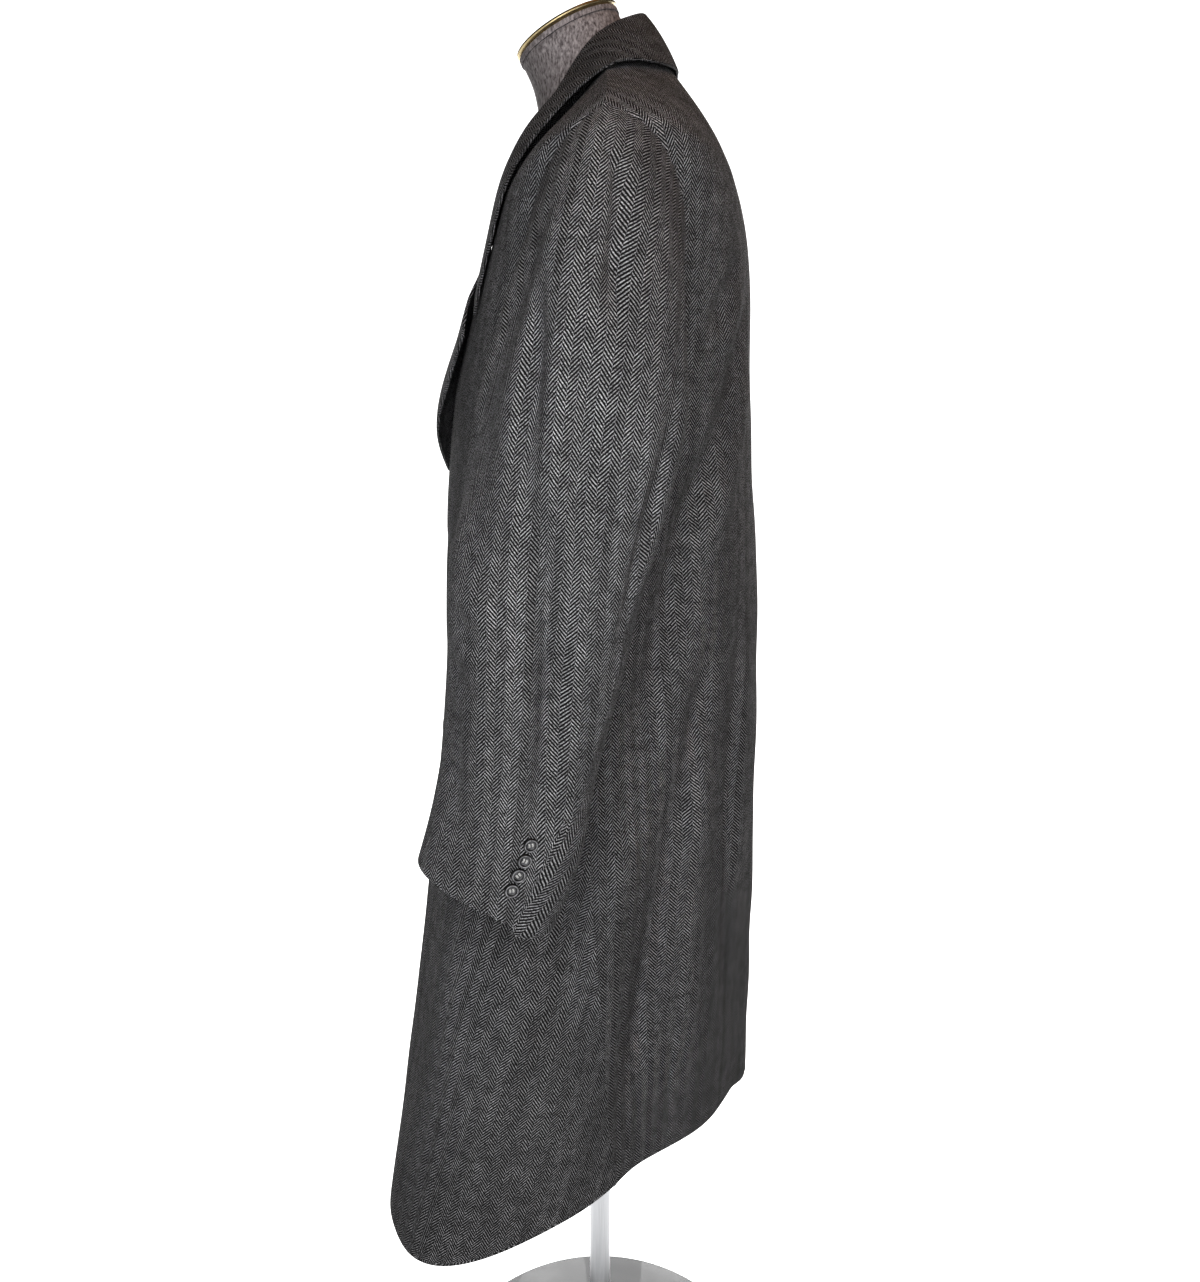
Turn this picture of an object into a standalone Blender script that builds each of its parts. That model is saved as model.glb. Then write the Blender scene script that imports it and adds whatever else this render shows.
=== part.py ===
# A knee-length tweed overcoat with notch lapels, buttoned on a limbless dress form with a stand.
# The wearer's left is +X, the coat faces -Y, and the origin is on the floor under the pole.

import math
from functools import lru_cache

import bmesh
import bpy
import numpy as np
from mathutils import Vector

for old in list(bpy.data.objects):
    bpy.data.objects.remove(old)

# Driving sizes, in metres
CLOTH = 0.0025            # wall of one layer of tweed with its canvas
SEAM = 0.0003             # gap between two pieces at a seam
REST = 0.0006             # gap under a piece that lies on another
FRONT_LAP = 0.030         # each front reaches this far past the centre front
LAP_FLAT = 0.035          # it lies on the under front up to here
LAP_FADE = 0.085          # the upper front is back on the common surface here
VENT_LAP = 0.045          # the right back reaches this far under the left one
VENT_FLAT = 0.008         # the right back lies this low up to here, and is level again at VENT_FADE
VENT_FADE = 0.070
VENT_GAP = 0.0030         # the vent's two layers hang this far apart
MERGE = 0.00002
SHARP_ANGLE = 40.0
CUFF_BUTTON = 0.0128
CUFF_BUTTON_THICK = 0.0030
CUFF_BUTTON_PITCH = 0.0138
CUFF_BUTTON_COUNT = 4
FRONT_BUTTON = 0.024
FRONT_BUTTON_THICK = 0.0045
FRONT_BUTTON_PITCH = 0.130
FRONT_BUTTON_COUNT = 3
FRONT_BUTTON_REACH = -0.006
FRONT_BUTTON_DROP = 0.012  # the top button sits this far below the break

# The body's sections from hem to neck. Each runs from the centre front over the side to the centre
# back, as two quarter ovals with their own squareness. "seam" is the side seam's share of the way.
SECTION_COLUMNS = ("z_front", "z_side", "z_back", "half_width", "side_y", "front_y", "back_y",
                   "square_front", "square_back", "seam")
SECTIONS = (
    (0.446, 0.448, 0.478, 0.293, -0.122, -0.215, 0.174, 3.2, 1.35, 0.70),
    (0.570, 0.570, 0.578, 0.268, -0.102, -0.202, 0.174, 3.0, 1.45, 0.66),
    (0.695, 0.695, 0.695, 0.247, -0.080, -0.189, 0.174, 2.8, 1.60, 0.62),
    (0.820, 0.820, 0.820, 0.230, -0.058, -0.176, 0.174, 2.6, 1.80, 0.58),
    (0.940, 0.940, 0.940, 0.216, -0.038, -0.161, 0.173, 2.5, 1.95, 0.55),
    (1.050, 1.050, 1.050, 0.208, -0.022, -0.157, 0.168, 2.4, 2.10, 0.53),
    (1.150, 1.150, 1.150, 0.205, -0.010, -0.153, 0.159, 2.4, 2.20, 0.515),
    (1.250, 1.250, 1.250, 0.207, 0.000, -0.142, 0.153, 2.4, 2.30, 0.50),
    (1.320, 1.330, 1.325, 0.212, 0.004, -0.124, 0.150, 2.4, 2.40, 0.50),
    (1.375, 1.410, 1.395, 0.224, 0.008, -0.105, 0.144, 2.4, 2.40, 0.50),
    (1.420, 1.473, 1.450, 0.236, 0.012, -0.088, 0.127, 2.4, 2.40, 0.50),
    (1.455, 1.506, 1.500, 0.168, 0.012, -0.074, 0.105, 2.2, 2.20, 0.50),
    (1.480, 1.548, 1.555, 0.080, 0.008, -0.062, 0.068, 2.0, 2.00, 0.50),
)
RISE = 3.0                # how late a section climbs from the centre to the shoulder
RING_STEPS = 60
FRONT_COLUMNS = 13
BACK_COLUMNS = 9
NORMAL_STEP = 0.02        # spans used to find a normal, in shares and in levels
NORMAL_LIFT = 0.12

# Levels count the sections above
HEM = 0.0
VENT_TOP = 4.4
VENT_CORNER = 4.2         # the under flap is cut in to the centre seam between here and the top
VENT_CLOSED = 5.2
BREAK = 6.15              # the top button, where the lapels start to roll
UNDERARM = 7.0
PARTING = (7.6, 8.6)      # the fronts' lap ends over these levels
SHOULDER = 10.0
NECK = 12.0
BODY_ROWS = (7, 1, 3, 2)  # rows from the hem to the vent's corner and top, the break and underarm
SHOULDER_LEVELS = (SHOULDER, 10.45, 10.9, 11.3, 11.6, 11.8, 11.92, NECK)

# The fronts' inner edge: the lap below the break, the roll line and the neck above it
ROLL_COLUMNS = ("level", "reach")
ROLL = ((HEM, -FRONT_LAP), (BREAK, -FRONT_LAP), (8.0, 0.016), (9.0, 0.038), (SHOULDER, 0.055),
        (11.0, 0.068), (NECK, 0.0795))

ARMHOLE_STEPS = 10        # rows of the armhole, and columns in half a sleeve
ARMHOLE_FRONT = 0.125     # the armhole's half widths, as shares of a section
ARMHOLE_BACK = 0.130

# Skirt folds: where they run, how wide, how deep on each side and where they fade out
FOLD_START = 0.25         # a fold is full up to this share of its top level
FOLD_COLUMNS = ("around_top", "around_hem", "width", "left_depth", "right_depth", "top_level")
FOLDS = (
    (0.34, 0.30, 0.060, 0.004, 0.005, 4.0),
    (0.60, 0.63, 0.045, 0.006, 0.004, 5.0),
    (0.72, 0.74, 0.035, -0.007, -0.005, 5.5),
    (0.84, 0.85, 0.040, 0.008, 0.004, 6.0),
    (0.92, 0.91, 0.035, 0.000, 0.015, 6.2),
    (1.00, 1.00, 0.045, -0.007, -0.007, 6.0),
)

# Each lapel from the break up to its top edge: the level on the roll line, the level and reach of
# the outer edge, and how far that edge stands off the chest
LAPEL_COLUMNS = ("roll_level", "edge_level", "edge_reach", "stand_off")
LAPEL = (
    (6.20, 6.20, -0.018, 0.006),
    (6.55, 6.45, 0.022, 0.011),
    (7.05, 6.72, 0.054, 0.013),
    (7.70, 7.02, 0.082, 0.010),
    (8.45, 7.36, 0.103, 0.007),
    (9.20, 7.70, 0.116, 0.006),
)
LAPEL_WALL = 0.0030
LAPEL_ROWS = 11
LAPEL_COLUMNS_ACROSS = 7
LAPEL_SWELL = 0.62        # the stand-off is a sine over this share of a half turn, to a power
LAPEL_POWER = 1.3
RIGHT_LAPEL_CLEAR = 0.003  # kept from the left front's edge, up to the level where they part
RIGHT_LAPEL_FREE = 7.9
RIGHT_LAPEL_START = 0.22  # the right one shows from here up, past the left front's edge

# The collar's stations from the centre back to its front end: the seam on the neck edge, the fold
# measured from the seam into the opening and out of the cloth, and the edge of the fall
COLLAR_COLUMNS = ("seam_level", "seam_around", "fold_in", "fold_out", "edge_level", "edge_around",
                  "edge_lift", "crown")
COLLAR = (
    (12.00, 1.00, 0.050, 0.009, 11.86, 1.00, 0.004, 0.002),
    (12.00, 0.85, 0.046, 0.011, 11.74, 0.86, 0.004, 0.003),
    (12.00, 0.68, 0.036, 0.016, 11.56, 0.69, 0.006, 0.004),
    (12.00, 0.50, 0.027, 0.019, 11.42, 0.52, 0.008, 0.005),
    (11.60, 0.33, 0.018, 0.020, 11.10, 0.39, 0.007, 0.007),
    (11.05, 0.20, 0.010, 0.014, 10.45, 0.30, 0.004, 0.006),
    (10.45, 0.12, 0.005, 0.010, 9.65, 0.262, 0.004, 0.006),
    (9.80, 0.10, 0.0035, 0.0075, 8.80, 0.248, 0.004, 0.005),
    (9.32, 0.08, 0.003, 0.0065, 7.95, 0.240, 0.004, 0.004),
)
COLLAR_NECK_STATIONS = 4  # these lie on the neck section, the rest on the fronts' inner edge
COLLAR_ROWS = 17
COLLAR_COLUMNS_ACROSS = 9
FOLD_RADIUS = 0.0040
FOLD_SET_BACK = 0.6       # the rounded fold's guide points, in fold radii
FOLD_RUN = 1.6
FOLD_RISE = 0.4
COLLAR_SEAM = 0.0020      # the stand starts this far above the neck edge

# The sleeve's rings from below the armhole to the cuff. "lean" drops the back of a ring and "turn"
# swings its front towards the body, both in degrees.
SLEEVE_COLUMNS = ("axis_x", "axis_y", "axis_z", "half_fore", "half_side", "lean", "turn")
SLEEVE = (
    (0.269, -0.014, 1.215, 0.091, 0.058, 3.0, 0.0),
    (0.270, -0.026, 1.150, 0.086, 0.056, 6.0, 3.0),
    (0.272, -0.037, 1.085, 0.080, 0.054, 8.0, 6.0),
    (0.275, -0.046, 1.020, 0.072, 0.052, 11.0, 10.0),
    (0.279, -0.056, 0.968, 0.066, 0.050, 14.0, 13.0),
    (0.283, -0.069, 0.923, 0.060, 0.047, 17.0, 16.0),
    (0.287, -0.082, 0.880, 0.055, 0.045, 20.0, 19.0),
    (0.291, -0.095, 0.842, 0.052, 0.044, 24.0, 22.0),
)
SLEEVE_SQUARE = 2.2
HEAD_ROWS = 7
TUBE_ROWS = 12
HEAD_OUT = 0.160          # how far the sleeve head runs out before it turns down
HEAD_DOWN = 0.300
HEAD_TURN = 0.55          # share of the armhole's inward way in the head's first direction
HEAD_SIDE = (1.0, 0.0, 0.12)
HEAD_TOP = 0.6            # share of the sideways way all round, and what the shoulder has more
HEAD_MORE = 0.4
HEAD_STEP = 0.3           # sleeve row that gives the way down at the head's end
BACK_SEAM = 4             # seam columns, in steps round from the shoulder towards the back
FRONT_SEAM = 13
CUFF_BUTTON_ANGLE = 45.0  # round from the outer side towards the back seam
CUFF_BUTTON_START = 6.32  # sleeve row of the lowest button
CUFF_BUTTON_REST = 0.0009
BUTTON_STEPS = 14
BUTTON_SPREAD = 0.05      # angle and rows used to find the cloth's normal under a button
BUTTON_RISE = 0.2
# A button's profile from its back to its sunk centre, in radii and thicknesses
BUTTON = ((0.0, 0.0), (0.8, 0.0), (1.0, 0.5), (0.86, 1.0), (0.68, 1.0), (0.58, 0.72), (0.0, 0.72))

# The form: its clearance inside the coat, its neck rings, cap, pole and base
FORM_BOTTOM = 3.35
FORM_LOW = 0.848          # its flat underside
FORM_UNDER_COLUMNS = ("inset", "rise")
FORM_UNDER = ((0.030, 0.0), (0.006, 0.008))  # the rounded edge of its underside
FORM_LEVELS = (3.5, 4.2, 5.0, 5.8, 6.6, 7.4, 8.2, 9.0, 9.5, 10.0, 10.45, 10.9, 11.3, 11.6)
CLEAR_COLUMNS = ("level", "clear")
FORM_CLEAR = ((FORM_BOTTOM, 0.030), (5.0, 0.020), (6.5, 0.010), (8.0, 0.004), (9.6, 0.003),
              (10.8, 0.003), (NECK, 0.020))
FORM_COLUMNS = 36
NECK_COLUMNS = ("centre_y", "centre_z", "half_width", "half_depth", "tilt")
NECK_RINGS = (
    (-0.003, 1.520, 0.062, 0.057, 6.0),
    (-0.010, 1.546, 0.056, 0.054, 12.0),
    (-0.019, 1.567, 0.0535, 0.0525, 20.0),
    (-0.0285, 1.5835, 0.052, 0.0515, 26.0),
)
CAP_RADIUS = 0.0535
CAP_HEIGHT = 0.007
# The cap's profile, in radii and heights
CAP = ((0.0, 0.0), (0.97, 0.0), (1.0, 0.3), (1.0, 1.0), (0.93, 1.29), (0.6, 1.64), (0.0, 1.86))
POLE_RADIUS = 0.0125
BASE_RADIUS = 0.210
BASE_THICK = 0.012
HUB_RADIUS = 0.028
HUB_TOP = 0.070
HUB_TAPER = 0.8
HUB_FLARE = 0.010
HUB_FOOT = 0.016
BASE_RISE = 0.004
BASE_EDGE = 0.006
POLE_STEPS = 20
BASE_STEPS = 40
CAP_STEPS = 32

TWEED = ("tweed", (0.060, 0.060, 0.062), 0.92, 0.0)
HORN = ("horn", (0.030, 0.028, 0.027), 0.38, 0.0)
JERSEY = ("jersey", (0.33, 0.32, 0.31), 0.95, 0.0)
BRASS = ("brass", (0.42, 0.29, 0.12), 0.32, 1.0)
STEEL = ("steel", (0.45, 0.45, 0.46), 0.35, 1.0)
ENAMEL = ("enamel", (0.05, 0.05, 0.052), 0.45, 0.0)


def table(columns, rows):
    return {name: np.array([row[i] for row in rows], float) for i, name in enumerate(columns)}


SECTION = table(SECTION_COLUMNS, SECTIONS)
ROLL_EDGE = table(ROLL_COLUMNS, ROLL)
FOLD = table(FOLD_COLUMNS, FOLDS)
LAPEL_ROW = table(LAPEL_COLUMNS, LAPEL)
COLLAR_ROW = table(COLLAR_COLUMNS, COLLAR)
SLEEVE_ROW = table(SLEEVE_COLUMNS, SLEEVE)
CLEAR = table(CLEAR_COLUMNS, FORM_CLEAR)


def smooth_at(values, place):
    # A smooth curve through a table's column, read at any place between its rows
    base = int(min(max(math.floor(place), 0), len(values) - 2))
    t = place - base
    before = values[max(base - 1, 0)]
    first = values[base]
    second = values[base + 1]
    after = values[min(base + 2, len(values) - 1)]
    slope_first = (second - before) / 2
    slope_second = (after - first) / 2
    return (first * (2 * t ** 3 - 3 * t ** 2 + 1) + slope_first * (t ** 3 - 2 * t ** 2 + t)
            + second * (3 * t ** 2 - 2 * t ** 3) + slope_second * (t ** 3 - t ** 2))


def ease(value, low, high):
    t = np.clip((value - low) / (high - low), 0.0, 1.0)
    return t * t * (3 - 2 * t)


def unit(vectors):
    return vectors / np.linalg.norm(vectors, axis=-1, keepdims=True)


@lru_cache(maxsize=None)
def section(level):
    # Points of the left half section and their share of the way from the front to the back
    row = {name: smooth_at(SECTION[name], level) for name in SECTION_COLUMNS}
    angle = np.linspace(0.0, math.pi / 2, RING_STEPS)
    low = np.sin(angle) ** (2 / row["square_front"])
    high = np.cos(angle) ** (2 / row["square_front"])
    front = np.stack([row["half_width"] * low,
                      row["side_y"] + (row["front_y"] - row["side_y"]) * high], axis=1)
    low = np.cos(angle) ** (2 / row["square_back"])
    high = np.sin(angle) ** (2 / row["square_back"])
    back = np.stack([row["half_width"] * low,
                     row["side_y"] + (row["back_y"] - row["side_y"]) * high], axis=1)
    halves = []
    for plan, start in ((front, 0.0), (back, 0.5)):
        steps = np.concatenate([[0.0], np.cumsum(np.linalg.norm(np.diff(plan, axis=0), axis=1))])
        halves.append(start + 0.5 * steps / steps[-1])
    share = np.concatenate([halves[0], halves[1][1:]])
    plan = np.concatenate([front, back[1:]])
    to_side = np.where(share < 0.5, 2 * share, 2 * (1 - share))
    centre_z = np.where(share < 0.5, row["z_front"], row["z_back"])
    z = centre_z + (row["z_side"] - centre_z) * to_side ** RISE
    return share, np.column_stack([plan, z])


def base_surface(level, around):
    # The left half of the body's surface. Past the centre front or back it runs on, mirrored.
    around = np.asarray(around, float)
    share, points = section(round(float(level), 6))
    inside = np.where(around < 0, -around, np.where(around > 1, 2 - around, around))
    found = np.stack([np.interp(inside, share, points[:, i]) for i in range(3)], axis=-1)
    found[..., 0] = np.where((around < 0) | (around > 1), -found[..., 0], found[..., 0])
    return found


def base_normal(level, around):
    around = np.asarray(around, float)
    along = base_surface(level, around + NORMAL_STEP) - base_surface(level, around - NORMAL_STEP)
    above = base_surface(min(level + NORMAL_LIFT, NECK), around)
    up = above - base_surface(max(level - NORMAL_LIFT, HEM), around)
    return unit(np.cross(along, up))


def fold_depth(side, level, around):
    depth = np.zeros_like(np.asarray(around, float))
    for i in range(len(FOLDS)):
        top = FOLD["top_level"][i]
        middle = FOLD["around_hem"][i] + (FOLD["around_top"][i] - FOLD["around_hem"][i]) * level / top
        height = FOLD["left_depth" if side > 0 else "right_depth"][i]
        swell = np.exp(-((around - middle) / FOLD["width"][i]) ** 2)
        depth += height * swell * (1 - ease(level, FOLD_START * top, top))
    return depth


def body(side, level, around, out=0.0):
    # A row of points on the folded body, moved out of the cloth, and their normals
    around = np.asarray(around, float)
    normal = base_normal(level, around)
    out = np.asarray(out, float) + fold_depth(side, level, around)
    points = base_surface(level, around) + normal * out[..., None]
    flip = np.array([side, 1.0, 1.0])
    return points * flip, normal * flip


def around_at(level, reach):
    # The share of the way at which the front half section reaches this far from the centre
    share, points = section(round(float(level), 6))
    found = np.interp(abs(reach), points[:RING_STEPS, 0], share[:RING_STEPS])
    return math.copysign(found, reach)


def front_edge(level):
    return around_at(level, np.interp(level, ROLL_EDGE["level"], ROLL_EDGE["reach"]))


def armhole(angle):
    # Level and share of the way on the armhole, from the shoulder (0) over the back and underarm
    level = UNDERARM + (SHOULDER - UNDERARM) * (1 + math.cos(angle)) / 2
    width = ARMHOLE_BACK if math.sin(angle) > 0 else ARMHOLE_FRONT
    return level, 0.5 + width * math.sin(angle)


def armhole_levels():
    angles = np.linspace(math.pi, 0.0, ARMHOLE_STEPS + 1)
    return UNDERARM + (SHOULDER - UNDERARM) * (1 + np.cos(angles)) / 2


def side_edge(level, toward_back):
    # The panel's outer edge: the side seam, then the armhole, then the shoulder seam
    if level <= UNDERARM:
        return smooth_at(SECTION["seam"], level)
    height = min((level - UNDERARM) / (SHOULDER - UNDERARM), 1.0)
    width = math.sqrt(max(1 - (2 * height - 1) ** 2, 0.0))
    return 0.5 + (ARMHOLE_BACK if toward_back else -ARMHOLE_FRONT) * width


def seam_share(level):
    # Half of the seam gap as a share of this section
    points = section(round(float(level), 6))[1]
    return SEAM / np.linalg.norm(np.diff(points, axis=0), axis=1).sum()


def lap_lift(level, reach):
    # The left front lies on the right one at the centre, up to where the lapels part
    lift = (CLOTH + REST) * (1 - ease(reach, LAP_FLAT, LAP_FADE))
    return lift * (1 - ease(level, *PARTING))


def material(finish):
    name, colour, roughness, metallic = finish
    made = bpy.data.materials.get(name)
    if made is None:
        made = bpy.data.materials.new(name)
        made.use_nodes = True
        shader = made.node_tree.nodes["Principled BSDF"]
        shader.inputs["Base Color"].default_value = (*colour, 1.0)
        shader.inputs["Roughness"].default_value = roughness
        shader.inputs["Metallic"].default_value = metallic
    return made


def finish_object(name, shape, finish):
    bmesh.ops.recalc_face_normals(shape, faces=shape.faces)
    mesh = bpy.data.meshes.new(name)
    shape.to_mesh(mesh)
    shape.free()
    mesh.shade_smooth()
    mesh.set_sharp_from_angle(angle=math.radians(SHARP_ANGLE))
    made = bpy.data.objects.new(name, mesh)
    made.data.materials.append(material(finish))
    bpy.context.scene.collection.objects.link(made)
    return made


def wall(name, outer, inner, finish=TWEED):
    # A closed wall between two grids of points with the same rows and columns
    rows, columns = outer.shape[:2]
    shape = bmesh.new()
    skins = []
    for grid in (outer, inner):
        skins.append([[shape.verts.new(point) for point in row] for row in grid])
    for skin in skins:
        for i in range(rows - 1):
            for j in range(columns - 1):
                shape.faces.new((skin[i][j], skin[i][j + 1], skin[i + 1][j + 1], skin[i + 1][j]))
    border = [(0, j) for j in range(columns)]
    border += [(i, columns - 1) for i in range(1, rows)]
    border += [(rows - 1, j) for j in range(columns - 2, -1, -1)]
    border += [(i, 0) for i in range(rows - 2, 0, -1)]
    for (i, j), (k, m) in zip(border, border[1:] + border[:1]):
        shape.faces.new((skins[0][i][j], skins[0][k][m], skins[1][k][m], skins[1][i][j]))
    finish_object(name, shape, finish)


def loft(name, rings, finish):
    # A closed solid through rings with the same number of points, capped at both ends
    shape = bmesh.new()
    loops = [[shape.verts.new(point) for point in ring] for ring in rings]
    count = len(rings[0])
    for lower, upper in zip(loops, loops[1:]):
        for j in range(count):
            k = (j + 1) % count
            shape.faces.new((lower[j], lower[k], upper[k], upper[j]))
    shape.faces.new(loops[0])
    shape.faces.new(loops[-1])
    finish_object(name, shape, finish)


def turned(name, profile, finish, steps):
    # A solid of revolution about Z from a profile that starts and ends on the axis
    shape = bmesh.new()
    points = [shape.verts.new((radius, 0.0, height)) for radius, height in profile]
    edges = [shape.edges.new(pair) for pair in zip(points, points[1:])]
    bmesh.ops.spin(shape, geom=points + edges, cent=(0, 0, 0), axis=(0, 0, 1),
                   angle=2 * math.pi, steps=steps, use_merge=True)
    bmesh.ops.remove_doubles(shape, verts=shape.verts, dist=MERGE)
    return finish_object(name, shape, finish)


def panel(name, side, levels, columns, inner_edge, outer_edge, lift):
    outer = []
    inner = []
    for level in levels:
        across = np.linspace(inner_edge(level), outer_edge(level), columns + 1)
        reach = base_surface(level, across)[:, 0] * np.where(across > 1, -1.0, 1.0)
        points, normals = body(side, level, across, lift(level, across, reach))
        outer.append(points)
        inner.append(points - CLOTH * normals)
    wall(name, np.array(outer), np.array(inner))


def body_levels():
    corners = (HEM, VENT_CORNER, VENT_TOP, BREAK, UNDERARM)
    parts = [np.linspace(low, high, count + 1)[:-1]
             for low, high, count in zip(corners, corners[1:], BODY_ROWS)]
    return np.concatenate([*parts, armhole_levels()[:-1], SHOULDER_LEVELS])


def build_fronts():
    levels = body_levels()
    for side, name in ((1, "front_left"), (-1, "front_right")):
        def lift(level, across, reach, side=side):
            return lap_lift(level, reach) if side > 0 else np.zeros_like(across)
        panel(name, side, levels, FRONT_COLUMNS, front_edge,
              lambda level: side_edge(level, False) - seam_share(level) / 2, lift)


def build_backs():
    levels = body_levels()

    def right_centre(level):
        lap = VENT_LAP / (np.linalg.norm(np.diff(section(round(level, 6))[1], axis=0), axis=1).sum())
        return 1 + (lap if level <= VENT_CORNER else -seam_share(level) / 2)

    def left_centre(level):
        return 1 - seam_share(level) / 2

    def outer_edge(level):
        return side_edge(level, True) + seam_share(level) / 2

    def tuck(level, across, reach):
        # Below the vent's top the right back runs in under the left one
        from_centre = np.where(across > 1, 0.0, reach)
        under = (CLOTH + VENT_GAP) * (1 - ease(from_centre, VENT_FLAT, VENT_FADE))
        return -under * (1 - ease(level, VENT_TOP, VENT_CLOSED))

    def level_with(level, across, reach):
        return np.zeros_like(across)

    panel("back_left", 1, levels, BACK_COLUMNS, outer_edge, left_centre, level_with)
    panel("back_right", -1, levels, BACK_COLUMNS + 1, outer_edge, right_centre, tuck)


def lapel_grid(side, start):
    rows = np.linspace(start, len(LAPEL) - 1, LAPEL_ROWS)
    across = np.linspace(0.0, 1.0, LAPEL_COLUMNS_ACROSS)
    outer = []
    inner = []
    for place in rows:
        value = {name: smooth_at(LAPEL_ROW[name], place) for name in LAPEL_COLUMNS}
        roll_reach = np.interp(value["roll_level"], ROLL_EDGE["level"], ROLL_EDGE["reach"])
        if side < 0:
            roll_reach = abs(roll_reach)
            if value["roll_level"] < RIGHT_LAPEL_FREE:
                roll_reach += RIGHT_LAPEL_CLEAR
        outer_row = []
        inner_row = []
        for c in across:
            level = value["roll_level"] + (value["edge_level"] - value["roll_level"]) * c
            reach = roll_reach + (value["edge_reach"] - roll_reach) * c
            lift = REST + lap_lift(level, reach) * (side > 0)
            lift += value["stand_off"] * math.sin(c * math.pi * LAPEL_SWELL) ** LAPEL_POWER
            points, normals = body(side, level, np.array([around_at(level, reach)]), lift)
            inner_row.append(points[0])
            outer_row.append(points[0] + LAPEL_WALL * normals[0])
        outer.append(outer_row)
        inner.append(inner_row)
    return np.array(outer), np.array(inner)


def build_lapels():
    wall("lapel_left", *lapel_grid(1, 0.0))
    wall("lapel_right", *lapel_grid(-1, RIGHT_LAPEL_START * (len(LAPEL) - 1)))


def collar_station(place):
    # Seam point, fold and fall edge of the left half collar
    value = {name: smooth_at(COLLAR_ROW[name], place) for name in COLLAR_COLUMNS}
    level = min(value["seam_level"], NECK)
    if place > COLLAR_NECK_STATIONS - 1:
        around = front_edge(level)
    else:
        around = value["seam_around"]
    seam, normal = body(1, level, np.array([around]), -CLOTH / 2)
    edge, edge_normal = body(1, value["edge_level"], np.array([value["edge_around"]]),
                             value["edge_lift"])
    return seam[0], normal[0], edge[0], edge_normal[0], value


def build_collar():
    places = np.linspace(0.0, len(COLLAR) - 1, COLLAR_ROWS)
    stations = [collar_station(place) for place in places]
    seams = np.array([station[0] for station in stations])
    runs = unit(np.gradient(seams, axis=0))
    sheet = []
    for (seam, normal, edge, edge_normal, value), run in zip(stations, runs):
        into = unit(np.cross(run, normal))
        seam = seam + into * COLLAR_SEAM
        fold = seam + into * value["fold_in"] + normal * value["fold_out"]
        away = unit(edge - fold)
        stand_top = fold - into * FOLD_RADIUS * FOLD_SET_BACK - away * FOLD_RADIUS
        fall_top = fold + away * FOLD_RADIUS * FOLD_RUN + edge_normal * FOLD_RADIUS * FOLD_RISE
        middle = (fall_top + edge) / 2 + edge_normal * value["crown"]
        guides = np.array([seam, (seam + stand_top) / 2, stand_top, fold, fall_top, middle, edge])
        picks = np.linspace(0, len(guides) - 1, COLLAR_COLUMNS_ACROSS + 1)
        sheet.append([smooth_at(guides, pick) for pick in picks])
    sheet = np.array(sheet)
    mirrored = sheet[:0:-1] * np.array([-1.0, 1.0, 1.0])
    sheet = np.concatenate([mirrored, sheet])
    normals = unit(np.cross(np.gradient(sheet, axis=1), np.gradient(sheet, axis=0)))
    wall("collar", sheet + normals * CLOTH / 2, sheet - normals * CLOTH / 2)


def sleeve_ring(place, angles):
    row = {name: smooth_at(SLEEVE_ROW[name], place) for name in SLEEVE_COLUMNS}
    power = 2 / SLEEVE_SQUARE
    side = row["half_side"] * np.sign(np.cos(angles)) * np.abs(np.cos(angles)) ** power
    fore = row["half_fore"] * np.sign(np.sin(angles)) * np.abs(np.sin(angles)) ** power
    turn = math.radians(row["turn"])
    x = side * math.cos(turn) + fore * math.sin(turn)
    y = fore * math.cos(turn) - side * math.sin(turn)
    z = -y * math.tan(math.radians(row["lean"]))
    centre = np.array([row["axis_x"], row["axis_y"], row["axis_z"]])
    return centre + np.column_stack([x, y, z])


def sleeve_grid():
    # The left sleeve's outer points, a row for each ring and a column for each armhole step
    angles = np.linspace(0.0, 2 * math.pi, 2 * ARMHOLE_STEPS + 1)[:-1]
    places = [armhole(angle) for angle in angles]
    edge = np.array([base_surface(level, around) for level, around in places])
    normal = np.array([base_normal(level, around) for level, around in places])
    into = edge.mean(axis=0) - edge
    into = unit(into - (into * normal).sum(axis=1, keepdims=True) * normal)
    start = edge + into * 2 * SEAM + normal * SEAM
    first = sleeve_ring(0.0, angles)
    down = unit(sleeve_ring(HEAD_STEP, angles) - first)
    sideways = np.outer(HEAD_TOP + HEAD_MORE * np.cos(angles), HEAD_SIDE)
    outward = unit(into * HEAD_TURN + sideways)
    reach = np.linalg.norm(first - start, axis=1, keepdims=True) / HEAD_DOWN
    rows = []
    for t in np.linspace(0.0, 1.0, HEAD_ROWS + 1)[:-1]:
        rows.append(start * (2 * t ** 3 - 3 * t ** 2 + 1)
                    + outward * HEAD_OUT * reach * (t ** 3 - 2 * t ** 2 + t)
                    + first * (3 * t ** 2 - 2 * t ** 3)
                    + down * HEAD_DOWN * reach * (t ** 3 - t ** 2))
    for place in np.linspace(0.0, len(SLEEVE) - 1, TUBE_ROWS + 1):
        rows.append(sleeve_ring(place, angles))
    return np.array(rows)


def sleeve_normals(grid):
    around = np.roll(grid, -1, axis=1) - np.roll(grid, 1, axis=1)
    return unit(np.cross(around, -np.gradient(grid, axis=0)))


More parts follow.
